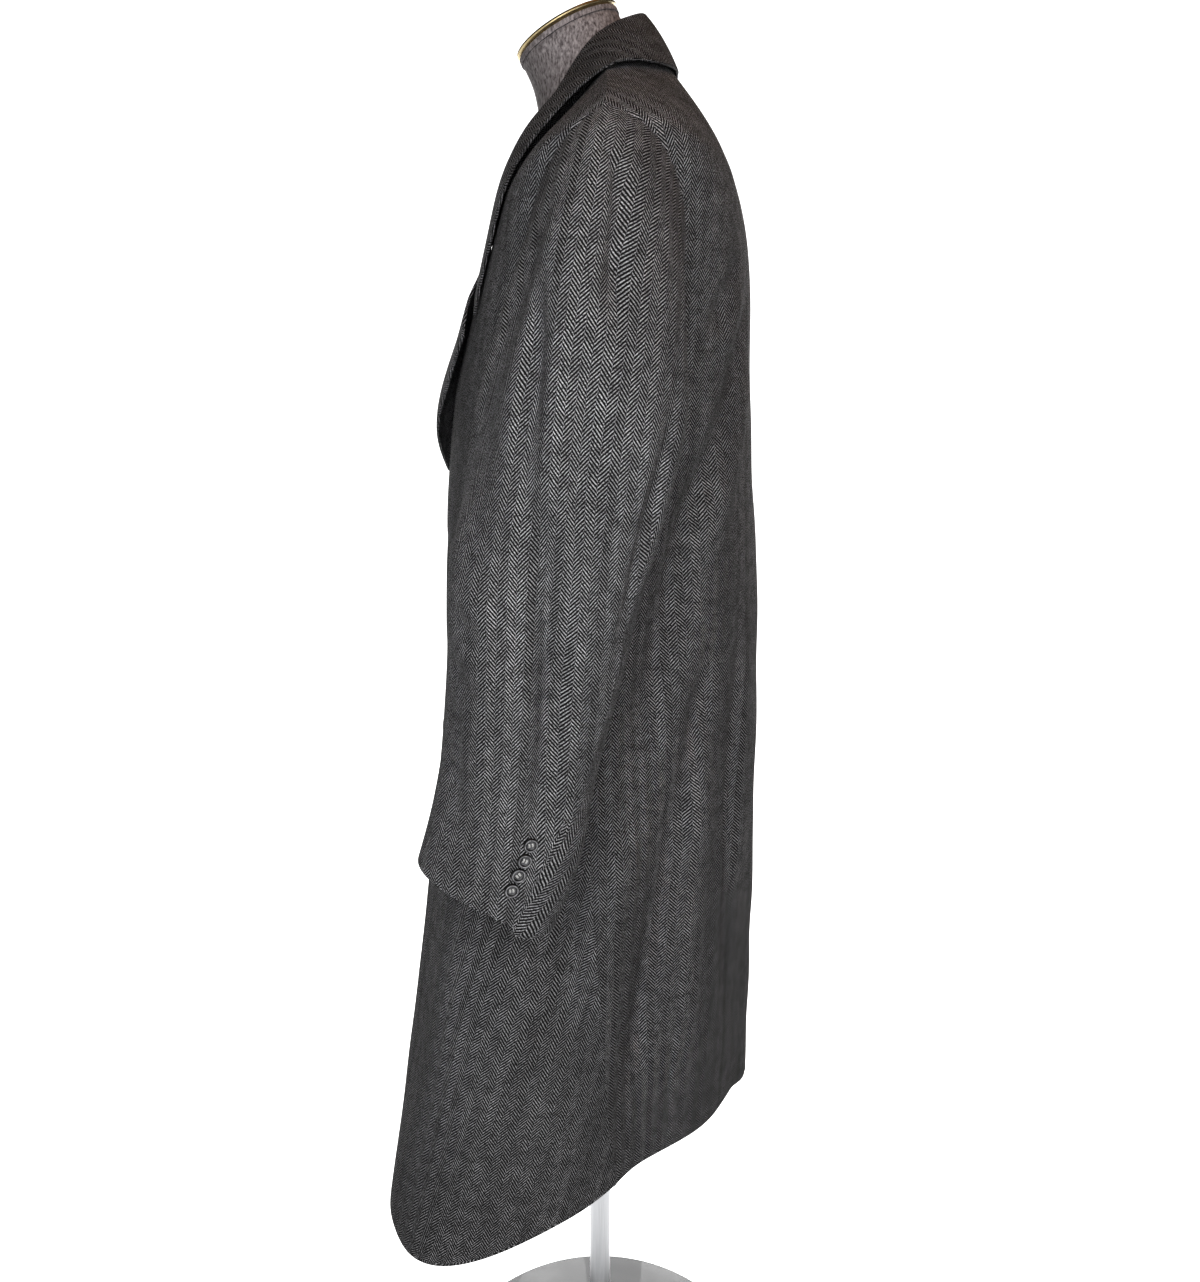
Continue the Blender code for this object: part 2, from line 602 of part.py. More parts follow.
def build_sleeves():
    outer = sleeve_grid()
    normals = sleeve_normals(outer)
    inner = outer - normals * CLOTH
    count = outer.shape[1]
    for side, word in ((1, "left"), (-1, "right")):
        flip = np.array([side, 1.0, 1.0])
        for name, first, last in (("top_sleeve", FRONT_SEAM - count, BACK_SEAM),
                                  ("under_sleeve", BACK_SEAM, FRONT_SEAM)):
            picks = np.arange(first, last + 1) % count
            skins = []
            for grid in (outer, inner):
                skin = grid[:, picks].copy()
                # Draw both long edges back from their seams
                for edge, beside in ((0, 1), (-1, -2)):
                    skin[:, edge] += unit(skin[:, beside] - skin[:, edge]) * SEAM / 2
                skins.append(skin * flip)
            wall(name + "_" + word, *skins)


def place_button(name, size, thick, point, normal):
    profile = [(radius * size / 2, height * thick) for radius, height in BUTTON]
    made = turned(name, profile, HORN, BUTTON_STEPS)
    made.location = Vector(point)
    made.rotation_euler = Vector(normal).to_track_quat("Z", "Y").to_euler()


def build_front_buttons():
    top = smooth_at(SECTION["z_front"], BREAK) - FRONT_BUTTON_DROP
    heights = SECTION["z_front"]
    for i in range(FRONT_BUTTON_COUNT):
        level = np.interp(top - i * FRONT_BUTTON_PITCH, heights, np.arange(len(heights)))
        around = np.array([around_at(level, FRONT_BUTTON_REACH)])
        points, normals = body(1, level, around, lap_lift(level, FRONT_BUTTON_REACH) + REST)
        place_button(f"front_button_{i + 1}", FRONT_BUTTON, FRONT_BUTTON_THICK, points[0], normals[0])


def build_cuff_buttons():
    spread = math.radians(CUFF_BUTTON_ANGLE) + BUTTON_SPREAD * np.array([-1.0, 0.0, 1.0])
    low = sleeve_ring(CUFF_BUTTON_START, spread)
    high = sleeve_ring(CUFF_BUTTON_START - 1.0, spread)
    length = np.linalg.norm(high[1] - low[1])
    for side, word in ((1, "left"), (-1, "right")):
        flip = np.array([side, 1.0, 1.0])
        for i in range(CUFF_BUTTON_COUNT):
            place = CUFF_BUTTON_START - i * CUFF_BUTTON_PITCH / length
            here = sleeve_ring(place, spread)
            above = sleeve_ring(place - BUTTON_RISE, spread)
            normal = unit(np.cross(here[2] - here[0], above[1] - here[1]))
            point = here[1] + normal * CUFF_BUTTON_REST
            place_button(f"cuff_button_{word}_{i + 1}", CUFF_BUTTON, CUFF_BUTTON_THICK,
                         point * flip, normal * flip)


def form_ring(level, around, extra=0.0):
    clear = np.interp(level, CLEAR["level"], CLEAR["clear"])
    inset = CLOTH + clear + extra
    left = base_surface(level, around) - base_normal(level, around) * inset
    right = left[-2:0:-1] * np.array([-1.0, 1.0, 1.0])
    return np.concatenate([left, right])


def build_form():
    around = np.linspace(0.0, 1.0, FORM_COLUMNS // 2 + 1)
    rings = []
    for row in FORM_UNDER:
        edge = dict(zip(FORM_UNDER_COLUMNS, row))
        ring = form_ring(FORM_BOTTOM, around, edge["inset"])
        ring[:, 2] = FORM_LOW + edge["rise"]
        rings.append(ring)
    for level in FORM_LEVELS:
        rings.append(form_ring(level, around))
    angles = np.linspace(-math.pi / 2, 1.5 * math.pi, FORM_COLUMNS + 1)[:-1]
    for row in NECK_RINGS:
        neck = dict(zip(NECK_COLUMNS, row))
        lean = math.radians(neck["tilt"])
        fore = neck["half_depth"] * np.sin(angles)
        rings.append(np.column_stack([neck["half_width"] * np.cos(angles),
                                      neck["centre_y"] + fore * math.cos(lean),
                                      neck["centre_z"] + fore * math.sin(lean)]))
    loft("form_torso", rings, JERSEY)
    # The cap sits on the last neck ring, with its tilt
    profile = [(radius * CAP_RADIUS, height * CAP_HEIGHT) for radius, height in CAP]
    cap = turned("form_neck_cap", profile, BRASS, CAP_STEPS)
    cap.location = (0.0, neck["centre_y"] - SEAM * math.sin(lean), neck["centre_z"] + SEAM * math.cos(lean))
    cap.rotation_euler = (lean, 0.0, 0.0)


def build_stand():
    foot = HUB_TOP + SEAM
    head = FORM_LOW - SEAM
    turned("stand_pole", ((0.0, foot), (POLE_RADIUS, foot), (POLE_RADIUS, head), (0.0, head)),
           STEEL, POLE_STEPS)
    profile = ((0.0, 0.0), (BASE_RADIUS, 0.0), (BASE_RADIUS, BASE_THICK - BASE_EDGE),
               (BASE_RADIUS - BASE_EDGE, BASE_THICK), (HUB_RADIUS + HUB_FLARE, BASE_THICK + BASE_RISE),
               (HUB_RADIUS, BASE_THICK + HUB_FOOT), (HUB_RADIUS * HUB_TAPER, HUB_TOP), (0.0, HUB_TOP))
    turned("stand_base", profile, ENAMEL, BASE_STEPS)


build_fronts()
build_backs()
build_lapels()
build_collar()
build_sleeves()
build_front_buttons()
build_cuff_buttons()
build_form()
build_stand()
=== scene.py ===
import math

import bmesh
import bpy
import numpy as np
from mathutils import Matrix, Vector
from mathutils.bvhtree import BVHTree


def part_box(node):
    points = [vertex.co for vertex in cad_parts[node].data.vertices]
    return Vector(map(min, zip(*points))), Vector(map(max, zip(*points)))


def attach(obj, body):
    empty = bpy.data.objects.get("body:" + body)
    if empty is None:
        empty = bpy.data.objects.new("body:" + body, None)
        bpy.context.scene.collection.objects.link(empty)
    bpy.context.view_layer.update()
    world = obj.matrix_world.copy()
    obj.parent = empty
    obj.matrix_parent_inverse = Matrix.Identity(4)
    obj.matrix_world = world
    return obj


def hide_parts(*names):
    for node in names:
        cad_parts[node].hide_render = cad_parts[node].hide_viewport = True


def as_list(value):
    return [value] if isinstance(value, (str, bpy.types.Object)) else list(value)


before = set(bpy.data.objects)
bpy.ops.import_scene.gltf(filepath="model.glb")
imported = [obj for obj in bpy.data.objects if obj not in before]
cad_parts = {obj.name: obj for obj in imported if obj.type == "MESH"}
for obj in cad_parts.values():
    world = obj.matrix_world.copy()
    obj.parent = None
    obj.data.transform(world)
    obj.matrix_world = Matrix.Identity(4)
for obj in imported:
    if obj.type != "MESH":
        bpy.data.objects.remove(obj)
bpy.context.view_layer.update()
print("frame loaded,", len(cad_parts), "nodes")

# metres, +Z up, the coat faces -Y and the wearer's left is +X

# what the camera sees: the coat's left side, from just below the shoulder
cameraView = {
    "azimuth": 92.0,        # degrees round from the front towards the wearer's left
    "distance": 1.15,
    "height": 1.255,
    "tiltDown": 13.0,
    "focalPixels": 1085.0,  # of an image 1200 wide and 1282 high
    "imageHeight": 1282.0,
    "sensor": 36.0,
    "nearest": 0.01,
}


def hexColour(code):
    # sRGB hex to linear
    parts = [int(code[i:i + 2], 16) / 255 for i in (1, 3, 5)]
    return tuple(c / 12.92 if c <= 0.04045 else ((c + 0.055) / 1.055) ** 2.4 for c in parts) + (1.0,)


def addNode(tree, kind, settings=None, links=None):
    # one node with its settings, socket values and incoming links
    node = tree.nodes.new(kind)
    for name, value in (settings or {}).items():
        if hasattr(node, name) and not name.isdigit():
            setattr(node, name, value)
        else:
            node.inputs[int(name) if name.isdigit() else name].default_value = value
    for name, source in (links or {}).items():
        tree.links.new(source, node.inputs[int(name) if name.isdigit() else name])
    return node


def newMaterial(name):
    made = bpy.data.materials.new(name)
    made.use_nodes = True
    return made, made.node_tree, made.node_tree.nodes["Principled BSDF"]


def ease(value, low, high):
    t = np.clip((value - low) / (high - low), 0.0, 1.0)
    return t * t * (3 - 2 * t)


# Herringbone wool tweed, woven and lightly milled: two greys of yarn in a broken twill that turns
# every few millimetres, with darker and paler slubs and a faint nap that softens its edges.
tweedLook = {
    "column": 0.0073,         # width of one run of the twill, half a full herringbone repeat
    "twillPitch": 0.0034,     # between two twill lines along the warp, coarse enough to show
    "twillSlope": 1.18,       # rise of a twill line over its run
    "wander": (0.0006, 0.0009, 0.0),  # how far a yarn strays across and along the warp
    "wanderLength": 0.006,
    "yarn": 0.0013,           # yarn thickness, coarse enough to show
    "slub": 0.012,
    "fleck": 0.0045,          # between two brown flecks
    "patch": 0.11,            # length of the slow drift of tone
    "patchTone": (0.86, 1.12),
    "runTone": (0.84, 1.15),  # darkest and palest run of the twill
    "dark": "#0b0b0c",
    "light": "#e4e4e8",
    "warm": "#6b5a4c",
    "contrast": 0.97,
    "roughness": 0.88,
    "sheen": 0.015,
    "sheenTint": "#a9a6a2",
    "bump": 0.9,
    "relief": 0.0008,         # how far the twill stands up
}


def makeTweed(name, look, shade):
    made, tree, shader = newMaterial(name)
    uv = addNode(tree, "ShaderNodeUVMap", {"uv_map": "cloth"})
    # yarns wander a little, so that no twill line is ruled
    wander = addNode(tree, "ShaderNodeTexNoise", {"Scale": 1 / look["wanderLength"], "Detail": 1.0},
                     {"Vector": uv.outputs[0]})
    centred = addNode(tree, "ShaderNodeVectorMath", {"operation": "SUBTRACT", "1": (0.5, 0.5, 0.5)},
                      {"0": wander.outputs["Color"]})
    shifted = addNode(tree, "ShaderNodeVectorMath", {"operation": "MULTIPLY_ADD", "1": look["wander"]},
                      {"0": centred.outputs[0], "2": uv.outputs[0]})
    across = addNode(tree, "ShaderNodeSeparateXYZ", {}, {"0": shifted.outputs[0]})
    # a zigzag across the columns
    turns = addNode(tree, "ShaderNodeMath", {"operation": "DIVIDE", "1": look["column"]},
                    {"0": across.outputs["X"]})
    zigzag = addNode(tree, "ShaderNodeMath", {"operation": "PINGPONG", "1": 1.0}, {"0": turns.outputs[0]})
    linesPerColumn = look["column"] * look["twillSlope"] / look["twillPitch"]
    rise = addNode(tree, "ShaderNodeMath", {"operation": "MULTIPLY", "1": linesPerColumn},
                   {"0": zigzag.outputs[0]})
    # the twill breaks by half a line where the run turns
    column = addNode(tree, "ShaderNodeMath", {"operation": "FLOOR"}, {"0": turns.outputs[0]})
    broken = addNode(tree, "ShaderNodeMath", {"operation": "MULTIPLY_ADD", "1": 0.5},
                     {"0": column.outputs[0], "2": rise.outputs[0]})
    line = addNode(tree, "ShaderNodeMath", {"operation": "MULTIPLY_ADD", "1": 1 / look["twillPitch"]},
                   {"0": across.outputs["Y"], "2": broken.outputs[0]})
    fold = addNode(tree, "ShaderNodeMath", {"operation": "PINGPONG", "1": 0.5}, {"0": line.outputs[0]})
    twill = addNode(tree, "ShaderNodeMapRange",
                    {"interpolation_type": "SMOOTHSTEP", "From Min": 0.20, "From Max": 0.40},
                    {"Value": fold.outputs[0]})
    # yarn by yarn differences
    yarn = addNode(tree, "ShaderNodeTexNoise", {"Scale": 1 / look["yarn"], "Detail": 2.0, "Roughness": 0.7},
                   {"Vector": uv.outputs[0]})
    yarnStretch = addNode(tree, "ShaderNodeMapRange",
                          {"From Min": 0.34, "From Max": 0.66, "To Min": 0.0, "To Max": 1.35},
                          {"Value": yarn.outputs["Fac"]})
    lines = addNode(tree, "ShaderNodeMath", {"operation": "MULTIPLY"},
                    {"0": twill.outputs[0], "1": yarnStretch.outputs[0]})
    slub = addNode(tree, "ShaderNodeTexNoise", {"Scale": 1 / look["slub"], "Detail": 3.0},
                   {"Vector": uv.outputs[0]})
    slubRange = addNode(tree, "ShaderNodeMapRange",
                        {"From Min": 0.3, "From Max": 0.7, "To Min": 0.62, "To Max": 1.15},
                        {"Value": slub.outputs["Fac"]})
    mixed = addNode(tree, "ShaderNodeMath", {"operation": "MULTIPLY", "use_clamp": True},
                    {"0": lines.outputs[0], "1": slubRange.outputs[0]})
    amount = addNode(tree, "ShaderNodeMapRange",
                     {"To Min": 0.5 - look["contrast"] / 2, "To Max": 0.5 + look["contrast"] / 2},
                     {"Value": mixed.outputs[0]})
    greys = addNode(tree, "ShaderNodeMix",
                    {"data_type": "RGBA", "6": hexColour(look["dark"]), "7": hexColour(look["light"])},
                    {"0": amount.outputs[0]})
    # brown flecks and a slow drift of tone over the cloth
    fleck = addNode(tree, "ShaderNodeTexVoronoi", {"Scale": 1 / look["fleck"], "Randomness": 1.0},
                    {"Vector": uv.outputs[0]})
    fleckPick = addNode(tree, "ShaderNodeMapRange", {"From Min": 0.10, "From Max": 0.0, "To Max": 0.55},
                        {"Value": fleck.outputs["Distance"]})
    flecked = addNode(tree, "ShaderNodeMix", {"data_type": "RGBA", "7": hexColour(look["warm"])},
                      {"0": fleckPick.outputs[0], "6": greys.outputs[2]})
    patch = addNode(tree, "ShaderNodeTexNoise", {"Scale": 1 / look["patch"], "Detail": 2.0},
                    {"Vector": uv.outputs[0]})
    # a shade below 1 darkens the whole cloth's colour, which is painted shade
    palest, darkest = look["patchTone"][1] * shade, look["patchTone"][0] * shade
    patchRange = addNode(tree, "ShaderNodeMapRange",
                         {"From Min": 0.3, "From Max": 0.7, "To Min": darkest, "To Max": palest},
                         {"Value": patch.outputs["Fac"]})
    # one run of the twill is paler than the next, as the dyed yarns differ
    runPick = addNode(tree, "ShaderNodeTexWhiteNoise", {"noise_dimensions": "1D"}, {"W": column.outputs[0]})
    runTone = addNode(tree, "ShaderNodeMapRange",
                      {"To Min": look["runTone"][0], "To Max": look["runTone"][1]},
                      {"Value": runPick.outputs["Value"]})
    tone = addNode(tree, "ShaderNodeMath", {"operation": "MULTIPLY"},
                   {"0": patchRange.outputs[0], "1": runTone.outputs[0]})
    toned = addNode(tree, "ShaderNodeMix", {"data_type": "RGBA", "blend_type": "MULTIPLY", "0": 1.0},
                    {"6": flecked.outputs[2], "7": tone.outputs[0]})
    tree.links.new(toned.outputs[2], shader.inputs["Base Color"])
    # twill lines and yarn stand up, and the nap blurs them
    height = addNode(tree, "ShaderNodeMath", {"operation": "MULTIPLY_ADD", "1": 0.6},
                     {"0": twill.outputs[0], "2": yarn.outputs["Fac"]})
    bump = addNode(tree, "ShaderNodeBump", {"Strength": look["bump"], "Distance": look["relief"]},
                   {"Height": height.outputs[0]})
    tree.links.new(bump.outputs[0], shader.inputs["Normal"])
    shader.inputs["Roughness"].default_value = look["roughness"]
    shader.inputs["IOR"].default_value = 1.45
    shader.inputs["Specular IOR Level"].default_value = 0.25
    shader.inputs["Sheen Weight"].default_value = look["sheen"]
    shader.inputs["Sheen Roughness"].default_value = 0.55
    shader.inputs["Sheen Tint"].default_value = hexColour(look["sheenTint"])
    return made


tweed = makeTweed("herringboneTweed", tweedLook, 1.0)
# The same cloth cut across the grain, with the nap lying sideways, its colour drawn darker all over: painted
# shade on the collar
shadedCollarTweed = makeTweed("crossCutTweedPaintedShade", tweedLook, 0.72)
print("tweed ready")


# Every cloth piece: how its warp runs, the turn in degrees past which an edge is a cut edge, the flat cut
# (width and length in metres, and the area inside its curved outline), how it is held and what it rests on
clothColumns = ("grain", "rim", "flat", "area", "held", "on")
clothTable = {
    "front_left": ("front", 50.0, (0.522, 1.145), 0.366, "hung", ["form_torso"]),
    "front_right": ("front", 50.0, (0.522, 1.145), 0.366, "hung", ["form_torso"]),
    "back_left": ("up", 50.0, (0.302, 1.137), 0.301, "hung", ["form_torso"]),
    "back_right": ("up", 50.0, (0.352, 1.136), 0.324, "hung", ["form_torso"]),
    "lapel_left": ("up", 50.0, (0.152, 0.225), 0.0153, "folded", ["front_left"]),
    "lapel_right": ("up", 50.0, (0.151, 0.201), 0.0128, "folded", ["front_right"]),
    "collar": ("across", 75.0, (0.756, 0.226), 0.0797, "folded", ["back_left", "back_right"]),
    "top_sleeve_left": ("sleeve", 50.0, (0.286, 0.661), 0.140, "hung", ["front_left"]),
    "top_sleeve_right": ("sleeve", 50.0, (0.286, 0.661), 0.140, "hung", ["front_right"]),
    "under_sleeve_left": ("sleeve", 50.0, (0.222, 0.609), 0.0904, "hung", ["back_left"]),
    "under_sleeve_right": ("sleeve", 50.0, (0.222, 0.609), 0.0904, "hung", ["back_right"]),
}
clothPieces = {node: dict(zip(clothColumns, row)) for node, row in clothTable.items()}
shellLook = {
    "levels": 3,            # rounds of smoothing on the solid's own grid
    "edgeCrease": 0.45,     # keeps the cut edges where they are, with a soft turn
    "sewnGap": 0.0013,      # edges nearer than this to another piece are sewn to it
    "sewnTurn": -0.85,      # a sewn edge that turns more than this stays a point, as at the shoulder
    "merge": 0.00002,
    "fewest": 12,           # corners that are enough to take the grain from
    "leastArea": 1e-12,
}
# the way the warp runs, and the height above which the grain is taken
grainWays = {
    "up": ((0.0, 0.0, 1.0), 0.0),
    "front": ((0.0, 0.16, 1.0), 0.0),
    "sleeve": ((0.0, 0.0, 1.0), 1.12),
    "across": ((1.0, 0.0, 0.0), 0.0),
}


def skinsOf(shell):
    # the groups of faces that the cut edges part from each other
    left = set(shell.faces)
    while left:
        skin = [left.pop()]
        for face in skin:
            for edge in face.edges:
                if not edge.seam:
                    for other in edge.link_faces:
                        if other in left:
                            left.remove(other)
                            skin.append(other)
        yield skin


def flatArea(face, layer):
    corners = [loop[layer].uv for loop in face.loops]
    return abs(sum(here.cross(there) for here, there in zip(corners, corners[1:] + corners[:1]))) / 2


def layGrain(mesh, grain):
    # turn each flattened skin so that the warp runs along the grain, at its real size
    shell = bmesh.new()
    shell.from_mesh(mesh)
    layer = shell.loops.layers.uv["cloth"]
    way, lowest = grainWays[grain]
    for skin in skinsOf(shell):
        loops = [loop for face in skin for loop in face.loops]
        flat = np.array([loop[layer].uv for loop in loops])
        place = np.array([loop.vert.co for loop in loops])
        laid = max(sum(flatArea(face, layer) for face in skin), shellLook["leastArea"])
        size = math.sqrt(sum(face.calc_area() for face in skin) / laid)
        flat = (flat - flat.mean(axis=0)) * size
        upper = place[:, 2] >= lowest
        if upper.sum() < shellLook["fewest"]:
            upper = np.ones(len(place), dtype=bool)
        base = np.column_stack([flat[upper], np.ones(upper.sum())])
        slope = np.linalg.lstsq(base, place[upper] @ np.array(way), rcond=None)[0]
        turn = math.atan2(slope[0], slope[1]) + (math.pi / 2 if grain == "across" else 0.0)
        turned = flat @ np.array([[math.cos(turn), math.sin(turn)], [-math.sin(turn), math.cos(turn)]])
        for loop, point in zip(loops, turned):
            loop[layer].uv = point
    shell.to_mesh(mesh)
    shell.free()


def mergedCopy(node):
    shell = bmesh.new()
    shell.from_mesh(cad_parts[node].data)
    bmesh.ops.remove_doubles(shell, verts=shell.verts, dist=shellLook["merge"])
    return shell


def sewnPull(node, point):
    # how far a point on a cut edge moves to meet the piece it is sewn to, or nothing
    pulls = []
    for other, tree in clothTrees.items():
        if other != node:
            place, normal, face, gap = tree.find_nearest(point, shellLook["sewnGap"])
            if place is not None:
                pulls.append((gap, place - point))
    return min(pulls, key=lambda pull: pull[0])[1] / 2 if pulls else None


def smoothen(piece, levels):
    bpy.context.view_layer.objects.active = piece
    smooth = piece.modifiers.new("smooth", "SUBSURF")
    smooth.levels = levels
    smooth.render_levels = levels
    bpy.ops.object.modifier_apply(modifier="smooth")
    piece.data.shade_smooth()


def shellFromNode(node, settings):
    mesh = bpy.data.meshes.new(node + "_cloth")
    shell = mergedCopy(node)
    bmesh.ops.join_triangles(shell, faces=shell.faces, angle_face_threshold=math.pi,
                             angle_shape_threshold=math.pi)
    crease = shell.edges.layers.float.new("crease_edge")
    corner = shell.verts.layers.float.new("crease_vert")
    for edge in shell.edges:
        cut = len(edge.link_faces) == 2 and edge.calc_face_angle() > math.radians(settings["rim"])
        edge.seam = cut
        edge[crease] = shellLook["edgeCrease"] if cut else 0.0
        edge.smooth = True
    pulls = {point: sewnPull(node, point.co) for point in shell.verts
             if any(edge.seam for edge in point.link_edges)}
    for edge in shell.edges:
        if edge.seam and all(pulls[point] is not None for point in edge.verts):
            edge[crease] = 1.0
            edge.smooth = False
    for point, pull in pulls.items():
        if pull is not None:
            point.co += pull
    for point in shell.verts:
        ways = [(edge.other_vert(point).co - point.co).normalized()
                for edge in point.link_edges if edge.seam]
        sewn = len(ways) == 2 and pulls[point] is not None
        turned = sewn and ways[0].dot(ways[1]) > shellLook["sewnTurn"]
        point[corner] = 1.0 if len(ways) > 2 or turned else 0.0
    for old in list(shell.loops.layers.uv):
        shell.loops.layers.uv.remove(old)
    shell.loops.layers.uv.new("cloth")
    shell.to_mesh(mesh)
    shell.free()
    piece = bpy.data.objects.new(node + "_cloth", mesh)
    bpy.context.scene.collection.objects.link(piece)
    for other in bpy.context.selected_objects:
        other.select_set(False)
    piece.select_set(True)
    bpy.context.view_layer.objects.active = piece
    bpy.ops.object.mode_set(mode="EDIT")
    bpy.ops.mesh.select_all(action="SELECT")
    bpy.ops.uv.unwrap(method="ANGLE_BASED", margin=0.0)
    bpy.ops.object.mode_set(mode="OBJECT")
    layGrain(mesh, settings["grain"])
    smoothen(piece, shellLook["levels"])
    # the piece cut across, the collar, gets the copy drawn darker as painted shade
    piece.data.materials.append(shadedCollarTweed if settings["grain"] == "across" else tweed)
    return piece


clothTrees = {}
for node in clothPieces:
    shell = mergedCopy(node)
    clothTrees[node] = BVHTree.FromBMesh(shell)
    shell.free()

shells = {}
for node, settings in clothPieces.items():
    shells[node] = shellFromNode(node, settings)
    print("shell", node, len(shells[node].data.polygons))


# The drape. A crease is a soft trough (minus) or ridge (plus) through three places on the cloth,
# each an angle round the body or sleeve in degrees and a height. It fades out at both ends.
creaseColumns = ("start", "middle", "end", "width", "depth")
# round the body: 0 is the centre front, 90 the wearer's left and 180 the centre back
bodyCreases = (
    ((137, 1.375), (129, 1.340), (121, 1.300), 0.011, -0.0050),    # from the blade to the back of the armhole
    ((140, 1.350), (132, 1.312), (124, 1.270), 0.010, 0.0035),
    ((148, 1.345), (131, 1.235), (114, 1.095), 0.013, -0.0080),
    ((152, 1.300), (138, 1.200), (122, 1.080), 0.015, 0.0050),
    ((124, 1.240), (113, 1.070), (101, 0.900), 0.018, -0.0090),    # behind the sleeve
    ((120, 1.150), (109, 1.000), (97, 0.830), 0.024, -0.0090),
    ((129, 1.040), (120, 0.910), (110, 0.790), 0.014, -0.0090),
    ((142, 1.120), (144, 0.800), (149, 0.550), 0.016, -0.0110),    # beside the vent
    ((123, 0.980), (124, 0.760), (124, 0.540), 0.022, 0.0100),
    ((101, 0.880), (96, 0.770), (92, 0.620), 0.018, 0.0110),       # falls from under the sleeve
    ((113, 0.850), (108, 0.690), (97, 0.480), 0.017, -0.0150),
    ((87, 0.820), (86, 0.737), (86, 0.650), 0.011, -0.0090),
    ((66, 0.860), (70, 0.660), (71, 0.450), 0.045, 0.0110),        # front of the skirt
    ((50, 0.880), (50, 0.680), (49, 0.480), 0.030, -0.0080),
    ((30, 0.980), (27, 0.780), (25, 0.520), 0.030, -0.0060),
    ((12, 1.120), (34, 1.080), (52, 1.060), 0.012, -0.0040),       # pull from the buttons
    ((14, 1.000), (34, 0.985), (50, 0.990), 0.012, -0.0035),
    ((-14, 1.110), (-32, 1.090), (-50, 1.075), 0.012, -0.0038),
    ((-28, 0.960), (-25, 0.760), (-24, 0.500), 0.028, -0.0065),
    ((-50, 0.880), (-48, 0.690), (-49, 0.490), 0.028, -0.0090),
    ((-67, 0.850), (-69, 0.670), (-70, 0.460), 0.042, 0.0100),
    ((-88, 0.860), (-90, 0.720), (-92, 0.580), 0.014, -0.0100),
    ((-103, 0.900), (-101, 0.760), (-98, 0.600), 0.020, 0.0100),
    ((-116, 0.900), (-113, 0.720), (-106, 0.490), 0.017, -0.0130),
    ((-128, 0.960), (-127, 0.760), (-126, 0.540), 0.022, 0.0090),
    ((-150, 1.150), (-146, 0.860), (-150, 0.560), 0.015, -0.0090),
    ((-123, 1.230), (-114, 1.080), (-104, 0.920), 0.018, -0.0095),
    ((-147, 1.340), (-133, 1.240), (-116, 1.100), 0.013, -0.0075),
    ((-136, 1.370), (-128, 1.335), (-120, 1.290), 0.011, -0.0045),
    ((-150, 1.290), (-139, 1.200), (-124, 1.090), 0.015, 0.0045),
)
# round a sleeve: 0 is its outer side, 90 its back and -90 its front
sleeveCreases = (
    ((70, 1.440), (42, 1.371), (32, 1.290), 0.011, -0.0100),       # below the shoulder point
    ((-50, 1.370), (-37, 1.250), (-31, 1.140), 0.015, -0.0150),    # down the front, then across the elbow
    ((-34, 1.210), (8, 1.085), (24, 0.970), 0.014, -0.0170),
    ((16, 1.060), (31, 0.968), (44, 0.880), 0.012, -0.0120),
    ((13, 1.300), (15, 1.212), (22, 1.110), 0.012, -0.0050),
    ((70, 1.290), (68, 1.145), (64, 1.000), 0.007, -0.0070),       # along the back seam
    ((-62, 1.150), (-44, 1.030), (-30, 0.900), 0.020, 0.0060),
    ((-86, 1.420), (-76, 1.270), (-70, 1.090), 0.030, -0.0170),    # the empty upper arm falls back
    ((92, 0.990), (88, 0.830), (86, 0.680), 0.032, 0.0130),        # the cuff swings out at the back
    ((-84, 1.085), (-58, 1.070), (-34, 1.035), 0.011, -0.0042),    # crook of the arm
    ((-86, 1.030), (-62, 1.030), (-42, 1.005), 0.010, -0.0034),
    ((-66, 0.990), (-52, 0.930), (-42, 0.880), 0.015, -0.0030),
    ((88, 1.130), (78, 1.070), (70, 1.050), 0.011, -0.0030),
)
creaseLook = {
    "steps": 13,              # points along a crease's curve
    "reach": 3,               # widths to either side that it can touch
    "fadeIn": (0.0, 0.35),    # shares of its length
    "fadeOut": (0.65, 1.0),
    "uneven": 0.25,           # how much its depth varies along it
    "unevenTurn": 9.0,
    "unevenStart": 40,        # makes one crease vary unlike the next
}
drape = {
    "bodyRadius": 0.20,       # turns angles into lengths along the cloth
    "sleeveRadius": 0.062,
    "bodyOval": (0.25, 0.17),
    "bodyAxisY": -0.005,
    "waver": 0.0007,          # a slow unevenness all over
    "waverLength": 0.085,
    # where the body's cloth goes from free to sewn
    "sewnHeight": (1.12, 1.22),
    "sewnSide": (0.13, 0.175),
    "collarHeight": (1.30, 1.42),
    "frontTurn": (14.0, 30.0),
    # and the sleeve's at the armhole
    "armholeSide": (0.238, 0.268),
    "armholeHeight": (1.12, 1.20),
    # the corner of the hem at the back vent
    "cornerTurn": (160.0, 177.0),
    "cornerHeight": (0.70, 0.86),
    "cornerOut": 0.006,
    "cornerDown": 0.010,
    # the cuff vent: turns between which it starts and ends, and how far its edges move
    "ventHeight": (0.890, 0.965),
    "ventStart": (40.0, 66.0),
    "ventEnd": (120.0, 140.0),
    "ventLift": 0.0030,
    "ventShift": -0.0095,     # the upper edge, round the sleeve
    "ventUnder": -0.0160,     # the lower edge, so that it passes under the upper one
    "ventDipTurn": (57.0, 6.0),   # the dip's middle and width
    "ventDip": -0.0050,
    "cuffStart": (10.0, 75.0),
    "cuffEnd": (120.0, 160.0),
    "cuffDrop": 0.0090,
}
# the slow unevenness: the way each wave runs, and where it starts
waverWays = (((0.9, 0.3, 0.5), 0.2), ((-0.4, 0.8, 0.35), 1.7), ((0.2, -0.5, 0.8), 3.1),
             ((0.7, 0.6, -0.3), 4.4))
